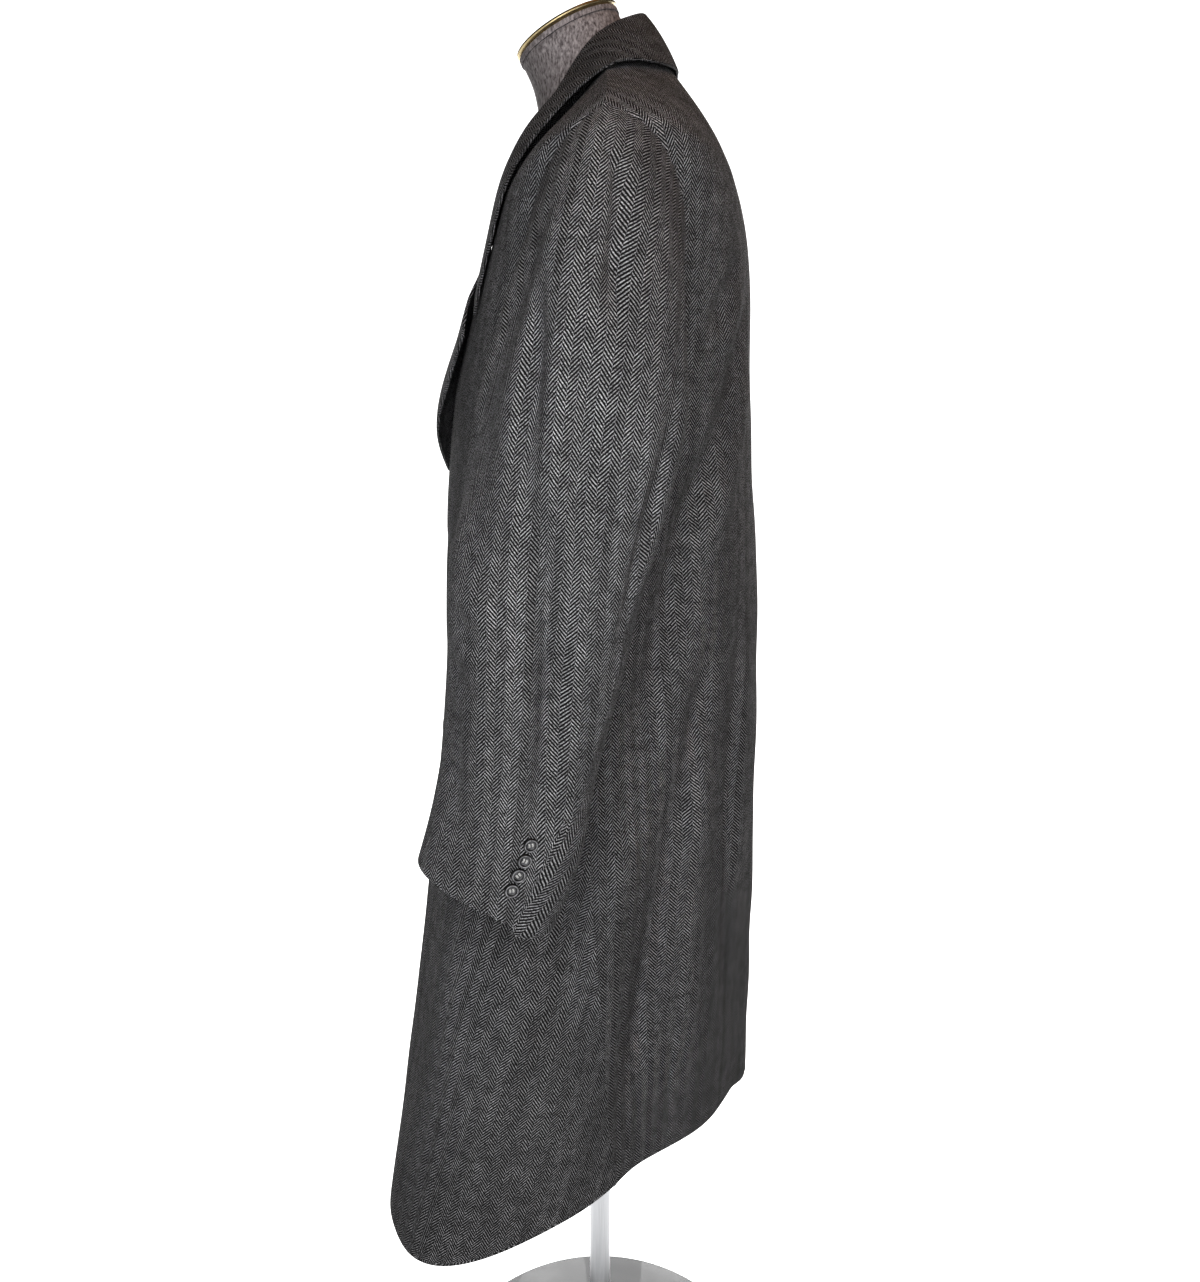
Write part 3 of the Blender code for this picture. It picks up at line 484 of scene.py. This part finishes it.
# the middle of the left sleeve at some heights
sleeveAxisColumns = ("z", "x", "y")
sleeveAxis = ((0.80, 0.297, -0.109), (0.842, 0.291, -0.095), (0.923, 0.283, -0.069), (1.020, 0.275, -0.046),
              (1.150, 0.270, -0.026), (1.215, 0.269, -0.014), (1.45, 0.262, 0.004))


def creaseDepth(angle, height, radius, creases):
    look = creaseLook
    depth = np.zeros_like(angle)
    for crease in creases:
        row = dict(zip(creaseColumns, crease))
        steps = np.linspace(0.0, 1.0, look["steps"])
        ends = [np.array([math.radians(a) * radius, z]) for a, z in (row["start"], row["middle"], row["end"])]
        # a curve that passes through the middle point
        bend = 2 * ends[1] - (ends[0] + ends[2]) / 2
        path = [(1 - t) ** 2 * ends[0] + 2 * t * (1 - t) * bend + t * t * ends[2] for t in steps]
        place = np.column_stack([np.radians(angle) * radius, height])
        reach = look["reach"] * row["width"]
        near = np.all((place > np.min(path, axis=0) - reach) & (place < np.max(path, axis=0) + reach), axis=1)
        place = place[near]
        best = np.full(len(place), np.inf)
        along = np.zeros(len(place))
        for t, low, high in zip(steps, path, path[1:]):
            run = high - low
            share = np.clip((place - low) @ run / (run @ run), 0.0, 1.0)
            gap = np.linalg.norm(place - low - share[:, None] * run, axis=1)
            nearer = gap < best
            best = np.where(nearer, gap, best)
            along = np.where(nearer, t + share * steps[1], along)
        fade = ease(along, *look["fadeIn"]) * (1 - ease(along, *look["fadeOut"]))
        start = look["unevenStart"] * row["depth"] / row["width"]
        uneven = 1 + look["uneven"] * np.sin(look["unevenTurn"] * along + start)
        depth[near] += row["depth"] * np.exp(-(best / row["width"]) ** 2) * fade * uneven
    return depth


def waver(points):
    # slow waves in a few directions, never the same twice over the coat
    turns = 2 * math.pi / drape["waverLength"]
    waves = sum(np.sin(turns * (points @ np.array(way)) + start) for way, start in waverWays)
    return waves * drape["waver"] / 2


def drapeBody(piece):
    points = readPoints(piece)
    x, y, z = points.T
    oval = np.array(drape["bodyOval"])
    away = np.column_stack([x, y - drape["bodyAxisY"]]) / oval ** 2
    away /= np.linalg.norm(away, axis=1, keepdims=True)
    angle = np.degrees(np.arctan2(x, -(y - drape["bodyAxisY"])))
    depth = creaseDepth(angle, z, drape["bodyRadius"], bodyCreases)
    # still where it is sewn to the sleeves, the collar and the front edges
    still = ease(z, *drape["sewnHeight"]) * ease(np.abs(x), *drape["sewnSide"])
    free = (1 - still) * (1 - ease(z, *drape["collarHeight"])) * ease(np.abs(angle), *drape["frontTurn"])
    depth += waver(points) * free
    # the corner of the hem at the vent hangs a little out and down
    corner = ease(np.abs(angle), *drape["cornerTurn"]) * (1 - ease(z, *drape["cornerHeight"]))
    depth += corner * drape["cornerOut"]
    points[:, 2] -= corner * drape["cornerDown"]
    points[:, :2] += away * depth[:, None]
    writePoints(piece, points)


def drapeSleeve(piece, side, over):
    points = readPoints(piece)
    x, y, z = points.T
    axis = dict(zip(sleeveAxisColumns, np.array(sleeveAxis).T))
    away = np.column_stack([x * side - np.interp(z, axis["z"], axis["x"]),
                            y - np.interp(z, axis["z"], axis["y"])])
    angle = np.degrees(np.arctan2(away[:, 1], away[:, 0]))
    away /= np.linalg.norm(away, axis=1, keepdims=True)
    depth = creaseDepth(angle, z, drape["sleeveRadius"], sleeveCreases) + waver(points)
    depth *= 1 - (1 - ease(np.abs(x), *drape["armholeSide"])) * ease(z, *drape["armholeHeight"])
    # the cuff vent: the upper edge lies over the lower one, and the hem falls towards it
    below = 1 - ease(z, *drape["ventHeight"])
    vent = ease(angle, *drape["ventStart"]) * (1 - ease(angle, *drape["ventEnd"])) * below
    if over:
        depth += drape["ventLift"] * vent
    else:
        # the lower edge dips under the upper one, which leaves a dark line
        middle, width = drape["ventDipTurn"]
        depth += drape["ventDip"] * np.exp(-((angle - middle) / width) ** 2) * below
    sideways = np.column_stack([-away[:, 1], away[:, 0]])
    shift = sideways * (drape["ventShift" if over else "ventUnder"] * vent)[:, None]
    points[:, :2] += (away * depth[:, None] + shift) * np.array([side, 1.0])
    fall = ease(angle, *drape["cuffStart"]) * (1 - ease(angle, *drape["cuffEnd"]))
    points[:, 2] -= drape["cuffDrop"] * fall * below
    writePoints(piece, points)


def readPoints(piece):
    points = np.empty(len(piece.data.vertices) * 3)
    piece.data.vertices.foreach_get("co", points)
    return points.reshape(-1, 3)


def writePoints(piece, points):
    piece.data.vertices.foreach_set("co", points.ravel())
    piece.data.update()


def treeOf(piece):
    return BVHTree.FromPolygons([vertex.co for vertex in piece.data.vertices],
                                [face.vertices[:] for face in piece.data.polygons])


for node, piece in shells.items():
    if "sleeve" in node:
        drapeSleeve(piece, -1.0 if node.endswith("right") else 1.0, node.startswith("top"))
    else:
        drapeBody(piece)
print("drape done")


# The gorge: the lapel's top is sewn to the end of the collar near the roll, and the notch stays open
gorge = {
    "search": 0.09,           # how far it looks for the collar
    "reach": 0.030,           # how far down the lapel the cloth gives
    "sewn": (0.034, 0.066),   # from the roll, where the seam ends and where the notch is fully open
    "meet": 0.97,             # share of the gap that the seam closes
}


def closeGorge(lapel, collar):
    tree = treeOf(collar)
    points = readPoints(lapel)
    roll = points[points[:, 2].argmax()].copy()
    for number, point in enumerate(points):
        near, normal, face, gap = tree.find_nearest(Vector(point), gorge["search"])
        if near is not None:
            sewn = 1 - ease(np.linalg.norm(point - roll), *gorge["sewn"])
            pull = math.exp(-(gap / gorge["reach"]) ** 2) * sewn * gorge["meet"]
            points[number] += (np.array(near) - point) * pull
    writePoints(lapel, points)


closeGorge(shells["lapel_left"], shells["collar"])
closeGorge(shells["lapel_right"], shells["collar"])
print("gorge closed")


# Polished horn: turned, with cloudy streaks, a soft gloss on the rim and a matt sunk middle; every copy has
# the same gloss, and the rim's copy is drawn paler, partly a painted highlight
def makeHorn(name, dark, pale):
    made, tree, shader = newMaterial(name)
    place = addNode(tree, "ShaderNodeTexCoord")
    streak = addNode(tree, "ShaderNodeTexNoise", {"Scale": 1 / 0.004, "Detail": 4.0, "Distortion": 1.2},
                     {"Vector": place.outputs["Object"]})
    cloud = addNode(tree, "ShaderNodeMapRange", {"From Min": 0.35, "From Max": 0.65},
                    {"Value": streak.outputs["Fac"]})
    colour = addNode(tree, "ShaderNodeMix", {"data_type": "RGBA", "6": hexColour(dark), "7": hexColour(pale)},
                     {"0": cloud.outputs[0]})
    tree.links.new(colour.outputs[2], shader.inputs["Base Color"])
    gloss = addNode(tree, "ShaderNodeMapRange", {"To Min": 0.22, "To Max": 0.38},
                    {"Value": streak.outputs["Fac"]})
    tree.links.new(gloss.outputs[0], shader.inputs["Roughness"])
    shader.inputs["IOR"].default_value = 1.54
    shader.inputs["Coat Weight"].default_value = 0.25
    shader.inputs["Coat Roughness"].default_value = 0.22
    return made


# Twisted cotton button thread: pale, dull, with fine slanting strands
def makeThread():
    made, tree, shader = newMaterial("cottonThread")
    place = addNode(tree, "ShaderNodeTexCoord")
    twist = addNode(tree, "ShaderNodeTexWave",
                    {"Scale": 1 / 0.0016, "Distortion": 2.0, "bands_direction": "DIAGONAL"},
                    {"Vector": place.outputs["Object"]})
    colour = addNode(tree, "ShaderNodeMix",
                     {"data_type": "RGBA", "6": hexColour("#a8a8a8"), "7": hexColour("#f0f0ee")},
                     {"0": twist.outputs["Fac"]})
    tree.links.new(colour.outputs[2], shader.inputs["Base Color"])
    shader.inputs["Roughness"].default_value = 0.85
    return made


# the rim's pale horn, partly a painted highlight, and a darker one for the sunk middle
horn = makeHorn("paleRimHornHighlight", "#5c5c60", "#b2b2b6")
mattHorn = makeHorn("mattHorn", "#323234", "#5c5c60")
# near-black horn: painted shadow round the button's edge and painted shade in its groove
paintedShadowHorn = makeHorn("paintedShadowHorn", "#0d0d0e", "#1d1d1f")
thread = makeThread()

# A turned button, in radii and thicknesses from its back to its sunk middle
buttonShape = {
    "profile": ((0.0, 0.0), (0.74, 0.0), (0.90, 0.10), (1.0, 0.40), (0.985, 0.66), (0.93, 0.88),
                (0.86, 0.99), (0.78, 1.0), (0.70, 0.90), (0.64, 0.68), (0.56, 0.53), (0.40, 0.475),
                (0.0, 0.46)),
    "steps": 40,
    "shadowRing": 0.87,          # outside this share of the radius, and in the groove, the horn is painted near black: painted shadow round the edge and painted shade in the groove
    "groove": (0.53, 0.70),
    "sharp": 38.0,          # degrees: edges that turn more than this stay crisp
    "holeRing": 0.21,       # each hole's distance from the middle, both ways
    "hole": 0.095,
    "holeSides": 14,
    "strand": 0.070,
    "strandSides": 8,
    "strandSteps": 12,
    "strandApart": 0.9,     # from the line between two holes, in strand radii
    "strandFoot": 0.46,     # height of the strands' ends, of the thickness
    "arch": 0.62,
    "frontWay": (0.0, -1.0, 0.0),   # roughly the way a front button faces
    "cuffWay": (1.0, 0.2, 0.0),     # and a left cuff's
    "reach": 0.03,          # looks for the cloth from this far in front of the solid
    "lift": 0.0002,
    "firstTurn": 62,        # degrees: no two neighbours are sewn on at the same turn
    "nextTurn": 31,
    "turns": 3,
}
spinMerge = 0.00001


def newPiece(name, shape, materials):
    mesh = bpy.data.meshes.new(name)
    shape.to_mesh(mesh)
    shape.free()
    for finish in materials:
        mesh.materials.append(finish)
    made = bpy.data.objects.new(name, mesh)
    bpy.context.scene.collection.objects.link(made)
    return made


def standFor(piece, node):
    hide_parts(node)
    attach(piece, "root")


def spunShape(profile, steps):
    shape = bmesh.new()
    points = [shape.verts.new((radius, 0.0, height)) for radius, height in profile]
    edges = [shape.edges.new(pair) for pair in zip(points, points[1:])]
    bmesh.ops.spin(shape, geom=points + edges, cent=(0, 0, 0), axis=(0, 0, 1), angle=2 * math.pi,
                   steps=steps, use_merge=True)
    bmesh.ops.remove_doubles(shape, verts=shape.verts, dist=spinMerge)
    bmesh.ops.recalc_face_normals(shape, faces=shape.faces)
    return shape


def masterButton(radius, thick):
    # one drilled button with its thread, at the origin and facing up
    look = buttonShape
    disc = spunShape([(r * radius, h * thick) for r, h in look["profile"]], look["steps"])
    # the outer edge and the groove get the near-black horn, which is painted shadow and painted shade; the
    # rim keeps the palest horn, partly a painted highlight
    for face in disc.faces:
        middle = face.calc_center_median()
        out = math.hypot(middle.x, middle.y) / radius
        if out > look["shadowRing"] or look["groove"][0] < out < look["groove"][1]:
            face.material_index = 2
        elif out < look["groove"][0]:
            face.material_index = 3
    made = newPiece("button_master", disc, [horn, thread, paintedShadowHorn, mattHorn])
    span, hole = look["holeRing"] * radius, look["hole"] * radius
    drill = bmesh.new()
    for across in (-1, 1):
        for along in (-1, 1):
            place = Matrix.Translation((across * span, along * span, thick / 2))
            bmesh.ops.create_cone(drill, cap_ends=True, segments=look["holeSides"], radius1=hole,
                                  radius2=hole, depth=thick * 2, matrix=place)
    cutter = newPiece("button_drill", drill, [])
    cut = made.modifiers.new("holes", "BOOLEAN")
    cut.operation = "DIFFERENCE"
    cut.solver = "EXACT"
    cut.object = cutter
    bpy.context.view_layer.objects.active = made
    bpy.ops.object.modifier_apply(modifier="holes")
    bpy.data.objects.remove(cutter)
    # two strands from hole to hole on each side, arched over the sunk middle
    shape = bmesh.new()
    shape.from_mesh(made.data)
    width = look["strand"] * radius
    for across in (-1, 1):
        for beside in (-1, 1):
            strand = bmesh.new()
            ring = bmesh.ops.create_circle(strand, segments=look["strandSides"], radius=width)["verts"]
            bmesh.ops.translate(strand, verts=ring, vec=(span, 0.0, 0.0))
            bmesh.ops.spin(strand, geom=strand.verts[:] + strand.edges[:], cent=(0, 0, 0), axis=(0, -1, 0),
                           angle=math.pi, steps=look["strandSteps"])
            bmesh.ops.holes_fill(strand, edges=[edge for edge in strand.edges if edge.is_boundary])
            bmesh.ops.scale(strand, verts=strand.verts, vec=(1.0, 1.0, look["arch"]))
            sideways = across * span + beside * width * look["strandApart"]
            bmesh.ops.translate(strand, verts=strand.verts, vec=(0.0, sideways, thick * look["strandFoot"]))
            bmesh.ops.recalc_face_normals(strand, faces=strand.faces)
            for face in strand.faces:
                face.material_index = 1
            joined = bpy.data.meshes.new("strand")
            strand.to_mesh(joined)
            strand.free()
            shape.from_mesh(joined)
            bpy.data.meshes.remove(joined)
    shape.to_mesh(made.data)
    shape.free()
    made.data.shade_smooth()
    made.data.set_sharp_from_angle(angle=math.radians(look["sharp"]))
    return made


def cornersOf(node):
    corners = np.array([tuple(vertex.co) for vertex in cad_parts[node].data.vertices])
    return np.unique(corners.round(6), axis=0)


def thinWay(corners):
    # the direction in which a flat solid is thinnest
    return np.linalg.svd(corners - corners.mean(axis=0))[2][2]


def standing(foot, facing):
    # takes what is upright at the origin to this foot, facing this way
    return Matrix.Translation(foot) @ Vector(facing).to_track_quat("Z", "Y").to_matrix().to_4x4()


def buttonSeat(node):
    # from the solid: the way it faces, its radius and thickness, and its back's middle on the draped cloth
    corners = cornersOf(node)
    middle = (corners.max(axis=0) + corners.min(axis=0)) / 2
    facing = thinWay(corners)
    onFront = node.startswith("front")
    outward = np.array(buttonShape["frontWay" if onFront else "cuffWay"])
    if not onFront:
        outward[0] = math.copysign(outward[0], middle[0])
    if facing @ outward < 0:
        facing = -facing
    heights = (corners - middle) @ facing
    radius = np.linalg.norm(corners - middle - np.outer(heights, facing), axis=1).max()
    host = shells["front_left" if onFront else "top_sleeve_" + node.split("_")[2]]
    cloth = treeOf(host).ray_cast(Vector(middle + facing * buttonShape["reach"]), Vector(-facing))[0]
    seat = middle + facing * ((np.array(cloth) - middle) @ facing + buttonShape["lift"])
    return seat, facing, radius, heights.max() - heights.min()


def buildButtons():
    masters = {}
    for node in [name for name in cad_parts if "button" in name]:
        seat, facing, radius, thick = buttonSeat(node)
        kind = node.split("_")[0]
        if kind not in masters:
            masters[kind] = masterButton(radius, thick)
        mesh = masters[kind].data.copy()
        degrees = buttonShape["firstTurn"] + buttonShape["nextTurn"] * (int(node[-1]) % buttonShape["turns"])
        mesh.transform(standing(seat, facing) @ Matrix.Rotation(math.radians(degrees), 4, "Z"))
        made = bpy.data.objects.new(node + "_horn", mesh)
        bpy.context.scene.collection.objects.link(made)
        standFor(made, node)
    for master in masters.values():
        bpy.data.objects.remove(master)


buildButtons()
print("buttons ready")


# Heather cotton jersey, stretched over the form: fine knitted wales, mixed grey and brown fibres
def makeJersey():
    made, tree, shader = newMaterial("heatherJersey")
    place = addNode(tree, "ShaderNodeTexCoord")
    long = addNode(tree, "ShaderNodeMapping", {"Scale": (1.0, 1.0, 0.45)},
                   {"Vector": place.outputs["Object"]})
    fibre = addNode(tree, "ShaderNodeTexNoise", {"Scale": 1 / 0.0022, "Detail": 3.0, "Roughness": 0.65},
                    {"Vector": long.outputs[0]})
    spread = addNode(tree, "ShaderNodeMapRange", {"From Min": 0.32, "From Max": 0.68},
                     {"Value": fibre.outputs["Fac"]})
    colour = addNode(tree, "ShaderNodeMix",
                     {"data_type": "RGBA", "6": hexColour("#4a4346"), "7": hexColour("#d4cdcf")},
                     {"0": spread.outputs[0]})
    tone = addNode(tree, "ShaderNodeTexNoise", {"Scale": 1 / 0.03, "Detail": 2.0},
                   {"Vector": place.outputs["Object"]})
    toneShare = addNode(tree, "ShaderNodeMapRange", {"To Max": 0.5}, {"Value": tone.outputs["Fac"]})
    toned = addNode(tree, "ShaderNodeMix", {"data_type": "RGBA", "7": hexColour("#857b78")},
                    {"0": toneShare.outputs[0], "6": colour.outputs[2]})
    tree.links.new(toned.outputs[2], shader.inputs["Base Color"])
    bump = addNode(tree, "ShaderNodeBump", {"Strength": 0.3, "Distance": 0.0006},
                   {"Height": fibre.outputs["Fac"]})
    tree.links.new(bump.outputs[0], shader.inputs["Normal"])
    shader.inputs["Roughness"].default_value = 0.92
    shader.inputs["Sheen Weight"].default_value = 0.1
    return made


# The form's hard finishes: one noise mottles each one's colour and gloss
hardLooks = {
    # Lacquered brass, spun and a little tarnished: warm, satin, with browner spots
    "agedBrass": {"spot": 0.012, "detail": 5.0, "length": 1.0, "colours": ("#c9bd9c", "#8a7a58"),
                  "roughness": (0.30, 0.52), "metal": 1.0, "coat": 0.0, "uneven": 0.0},
    # Drawn steel tube, brushed along its length: grey, with long fine streaks
    "brushedSteelTube": {"spot": 0.0012, "detail": 2.0, "length": 0.02, "colours": ("#a2a3a5", "#c3c4c6"),
                         "roughness": (0.26, 0.46), "metal": 1.0, "coat": 0.0, "uneven": 0.0},
    # Stove enamel on cast iron: near black, satin, with the casting's faint unevenness
    "stoveEnamel": {"spot": 0.05, "detail": 4.0, "length": 1.0, "colours": ("#202022", "#2e2e30"),
                    "roughness": (0.34, 0.55), "metal": 0.0, "coat": 0.2, "uneven": 0.12},
}


def makeHard(name):
    look = hardLooks[name]
    made, tree, shader = newMaterial(name)
    place = addNode(tree, "ShaderNodeTexCoord")
    long = addNode(tree, "ShaderNodeMapping", {"Scale": (1.0, 1.0, look["length"])},
                   {"Vector": place.outputs["Object"]})
    mottle = addNode(tree, "ShaderNodeTexNoise", {"Scale": 1 / look["spot"], "Detail": look["detail"]},
                     {"Vector": long.outputs[0]})
    first, second = look["colours"]
    colour = addNode(tree, "ShaderNodeMix",
                     {"data_type": "RGBA", "6": hexColour(first), "7": hexColour(second)},
                     {"0": mottle.outputs["Fac"]})
    tree.links.new(colour.outputs[2], shader.inputs["Base Color"])
    rough = addNode(tree, "ShaderNodeMapRange",
                    {"To Min": look["roughness"][0], "To Max": look["roughness"][1]},
                    {"Value": mottle.outputs["Fac"]})
    tree.links.new(rough.outputs[0], shader.inputs["Roughness"])
    shader.inputs["Metallic"].default_value = look["metal"]
    shader.inputs["Coat Weight"].default_value = look["coat"]
    if look["uneven"]:
        peel = addNode(tree, "ShaderNodeTexNoise", {"Scale": 1 / 0.003, "Detail": 2.0},
                       {"Vector": place.outputs["Object"]})
        bump = addNode(tree, "ShaderNodeBump", {"Strength": look["uneven"], "Distance": 0.0004},
                       {"Height": peel.outputs["Fac"]})
        tree.links.new(bump.outputs[0], shader.inputs["Normal"])
    return made


# The form's own pieces
formShape = {
    "torsoLevels": 2,
    "torsoJoin": 35.0,      # degrees: flatter pairs of triangles become one face
    "torsoEdge": 50.0,      # degrees: sharper edges keep some of their turn
    "torsoCrease": 0.6,
    "capRim": 0.0018,       # radius of the cap's rolled rim
    "capRoll": (2.9, -1.2, 10),     # the roll's first and last angle in radians, and its points
    "capLevel": 0.62,       # height of the rim, of the cap's height
    "capBand": 0.6,         # in rims: how far the band stands in from the rim
    "capNeck": (2.0, 1.6),  # in rims below the rim: where the band ends and where the roll begins
    "capCloth": 1.7,        # in rims below the rim: jersey under this
    "capDish": 0.0012,      # the top sinks this much inside the rim
    "capDishAt": 0.90,
    "capTop": ((0.80, 0.70), (0.45, 0.93), (0.12, 0.995), (0.0, 1.0)),  # shares of radius and height
    "capFoot": 0.0004,      # corners this near to the lowest make its foot
    "capSharp": 50.0,
    "poleEdge": 0.0012,
    "poleSteps": 48,
    "baseEdge": 0.0022,
    "baseRim": 0.006,       # height of the rolled edge's middle
    "baseRoll": (1.57, 0.0, 6),
    "baseShoulder": (0.020, 0.0116),    # in from the edge, and the height there
    "baseRise": ((0.120, 0.0145), (0.060, 0.0160), (0.040, 0.0185), (0.031, 0.0245), (0.0275, 0.034)),
    "hubTop": ((0.0240, 0.010), (0.0228, 0.003), (0.0215, 0.0)),        # radii, and depths below the top
    "standSharp": 40.0,
    "steps": 96,
}


def buildTorso():
    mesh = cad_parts["form_torso"].data.copy()
    mesh.materials.clear()
    shape = bmesh.new()
    shape.from_mesh(mesh)
    bmesh.ops.remove_doubles(shape, verts=shape.verts, dist=shellLook["merge"])
    bmesh.ops.join_triangles(shape, faces=shape.faces, angle_shape_threshold=math.pi,
                             angle_face_threshold=math.radians(formShape["torsoJoin"]))
    crease = shape.edges.layers.float.new("crease_edge")
    for edge in shape.edges:
        sharp = edge.calc_face_angle() > math.radians(formShape["torsoEdge"])
        edge[crease] = formShape["torsoCrease"] if sharp else 0.0
    bpy.data.meshes.remove(mesh)
    made = newPiece("form_torso_jersey", shape, [jersey])
    smoothen(made, formShape["torsoLevels"])
    standFor(made, "form_torso")


def buildCap():
    # the solid gives the cap's place and tilt
    look = formShape
    corners = cornersOf("form_neck_cap")
    facing = thinWay(corners)
    facing *= math.copysign(1.0, facing[2])
    heights = corners @ facing
    low = corners[heights < heights.min() + look["capFoot"]]
    foot = (low.max(axis=0) + low.min(axis=0)) / 2
    tall = heights.max() - heights.min()
    radius = np.linalg.norm(corners - foot - np.outer((corners - foot) @ facing, facing), axis=1).max()
    rim = look["capRim"]
    level = tall * look["capLevel"]
    roll = [(radius - rim + rim * math.sin(a), level + rim * math.cos(a))
            for a in np.linspace(*look["capRoll"])]
    band = radius - look["capBand"] * rim
    bandEnd, rollStart = [level - rims * rim for rims in look["capNeck"]]
    top = [(radius * out, tall * up) for out, up in look["capTop"]]
    profile = [(0.0, 0.0), (band, 0.0), (band, bandEnd), (band - rim, rollStart), *roll,
               (radius * look["capDishAt"], level - look["capDish"]), *top]
    shape = spunShape(profile, look["steps"])
    for face in shape.faces:
        if face.calc_center_median().z < level - look["capCloth"] * rim:
            face.material_index = 1
    made = newPiece("form_neck_cap_brass", shape, [makeHard("agedBrass"), jersey])
    made.data.transform(standing(foot, facing))
    made.data.shade_smooth()
    made.data.set_sharp_from_angle(angle=math.radians(look["capSharp"]))
    standFor(made, "form_neck_cap")


def buildSpun(node, slot, profile, steps, finish):
    made = newPiece(node + "_" + slot, spunShape(profile, steps), [finish])
    made.data.shade_smooth()
    made.data.set_sharp_from_angle(angle=math.radians(formShape["standSharp"]))
    standFor(made, node)


def buildStand():
    look = formShape
    low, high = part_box("stand_pole")
    radius, top, edge = high[0], high[2], look["poleEdge"]
    profile = ((0.0, low[2]), (radius, low[2]), (radius, top - edge), (radius - edge, top), (0.0, top))
    buildSpun("stand_pole", "steel", profile, look["poleSteps"], makeHard("brushedSteelTube"))

    # a low dome with a rolled edge that runs up into the hub
    low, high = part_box("stand_base")
    radius, top, edge = high[0], high[2], look["baseEdge"]
    rolled = [(radius - edge + edge * math.sin(a), look["baseRim"] + edge * math.cos(a))
              for a in np.linspace(*look["baseRoll"])]
    inward, shoulder = look["baseShoulder"]
    hub = [(out, top - below) for out, below in look["hubTop"]]
    profile = [(0.0, 0.0), (radius - edge, 0.0), (radius, edge), *rolled, (radius - inward, shoulder),
               *look["baseRise"], *hub, (0.0, top)]
    buildSpun("stand_base", "enamel", profile, look["steps"], makeHard("stoveEnamel"))


jersey = makeJersey()
buildTorso()
buildCap()
buildStand()
print("form ready")

for node, piece in shells.items():
    standFor(piece, node)
    cut = clothPieces[node]
    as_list(cut["on"])


# Studio: a pale floor in white air, a broad key behind the camera, a warm light above and one for each
# other side
studio = {
    "floor": "#ffffff",
    "paper": "#8f8f8e",
    "paperRoughness": 0.9,
    "floorGlow": 1.0,      # keeps the paper pale without lighting the cloth
    "floorSize": 14.0,
    "ambient": 0.02,
    "air": "#fff4e8",
    "seenAir": 1.02,       # what the camera sees behind the coat
    "exposure": 0.70,
    "gamma": 0.80,
}
lightColumns = ("name", "place", "target", "power", "size", "colour")
studioLights = (
    ("key", (1.36, 0.05, 1.36), (0.1, 0.0, 1.17), 10.0, 1.2, "#ffffff"),
    ("warmTop", (0.3, 0.5, 2.7), (0.1, 0.0, 1.3), 2.0, 1.2, "#ffb877"),
    # the other three sides, kept clear of the side that the camera sees
    ("frontSide", (-2.4, -0.8, 1.5), (0.0, 0.0, 1.0), 26.0, 1.3, "#ffffff"),
    ("backSide", (-2.4, 0.8, 1.5), (0.0, 0.0, 1.0), 26.0, 1.3, "#ffffff"),
    ("rightSide", (-2.5, 0.0, 1.5), (0.0, 0.0, 1.0), 15.6, 1.3, "#ffffff"),
)


def areaLight(light):
    lamp = bpy.data.lights.new(light["name"], "AREA")
    lamp.color = hexColour(light["colour"])[:3]
    lamp.energy = light["power"]
    lamp.size = light["size"]
    made = bpy.data.objects.new(light["name"], lamp)
    made.location = light["place"]
    away = Vector(light["target"]) - Vector(light["place"])
    made.rotation_euler = away.to_track_quat("-Z", "Y").to_euler()
    bpy.context.scene.collection.objects.link(made)


def buildStudio():
    camera = bpy.data.cameras.new("camera")
    camera.sensor_width = cameraView["sensor"]
    camera.lens = cameraView["sensor"] * cameraView["focalPixels"] / cameraView["imageHeight"]
    camera.clip_start = cameraView["nearest"]
    seen = bpy.data.objects.new("camera", camera)
    bearing = math.radians(cameraView["azimuth"])
    seen.location = (cameraView["distance"] * math.sin(bearing),
                     -cameraView["distance"] * math.cos(bearing), cameraView["height"])
    seen.rotation_euler = (math.radians(90 - cameraView["tiltDown"]), 0.0, bearing)
    bpy.context.scene.collection.objects.link(seen)
    bpy.context.scene.camera = seen

    paper, tree, shader = newMaterial("matteStudioPaper")
    shader.inputs["Base Color"].default_value = hexColour(studio["paper"])
    shader.inputs["Roughness"].default_value = studio["paperRoughness"]
    shader.inputs["Emission Color"].default_value = hexColour(studio["floor"])
    shader.inputs["Emission Strength"].default_value = studio["floorGlow"]
    sheet = bmesh.new()
    bmesh.ops.create_grid(sheet, x_segments=1, y_segments=1, size=studio["floorSize"])
    mesh = bpy.data.meshes.new("floor")
    sheet.to_mesh(mesh)
    sheet.free()
    mesh.materials.append(paper)
    floor = bpy.data.objects.new("floor", mesh)
    bpy.context.scene.collection.objects.link(floor)
    floor.visible_diffuse = False

    for row in studioLights:
        areaLight(dict(zip(lightColumns, row)))

    world = bpy.data.worlds.new("studioAir")
    world.use_nodes = True
    tree = world.node_tree
    dim = tree.nodes["Background"]
    dim.inputs["Color"].default_value = hexColour(studio["air"])
    dim.inputs["Strength"].default_value = studio["ambient"]
    # the camera sees plain white air, and the cloth gets the dim one
    white = addNode(tree, "ShaderNodeBackground",
                    {"Color": hexColour(studio["floor"]), "Strength": studio["seenAir"]})
    rays = addNode(tree, "ShaderNodeLightPath")
    both = addNode(tree, "ShaderNodeMixShader", {},
                   {"0": rays.outputs["Is Camera Ray"], "1": dim.outputs[0], "2": white.outputs[0]})
    tree.links.new(both.outputs[0], tree.nodes["World Output"].inputs["Surface"])
    bpy.context.scene.world = world
    bpy.context.scene.view_settings.view_transform = "Standard"
    bpy.context.scene.view_settings.exposure = studio["exposure"]
    bpy.context.scene.view_settings.gamma = studio["gamma"]


buildStudio()
print("studio ready")
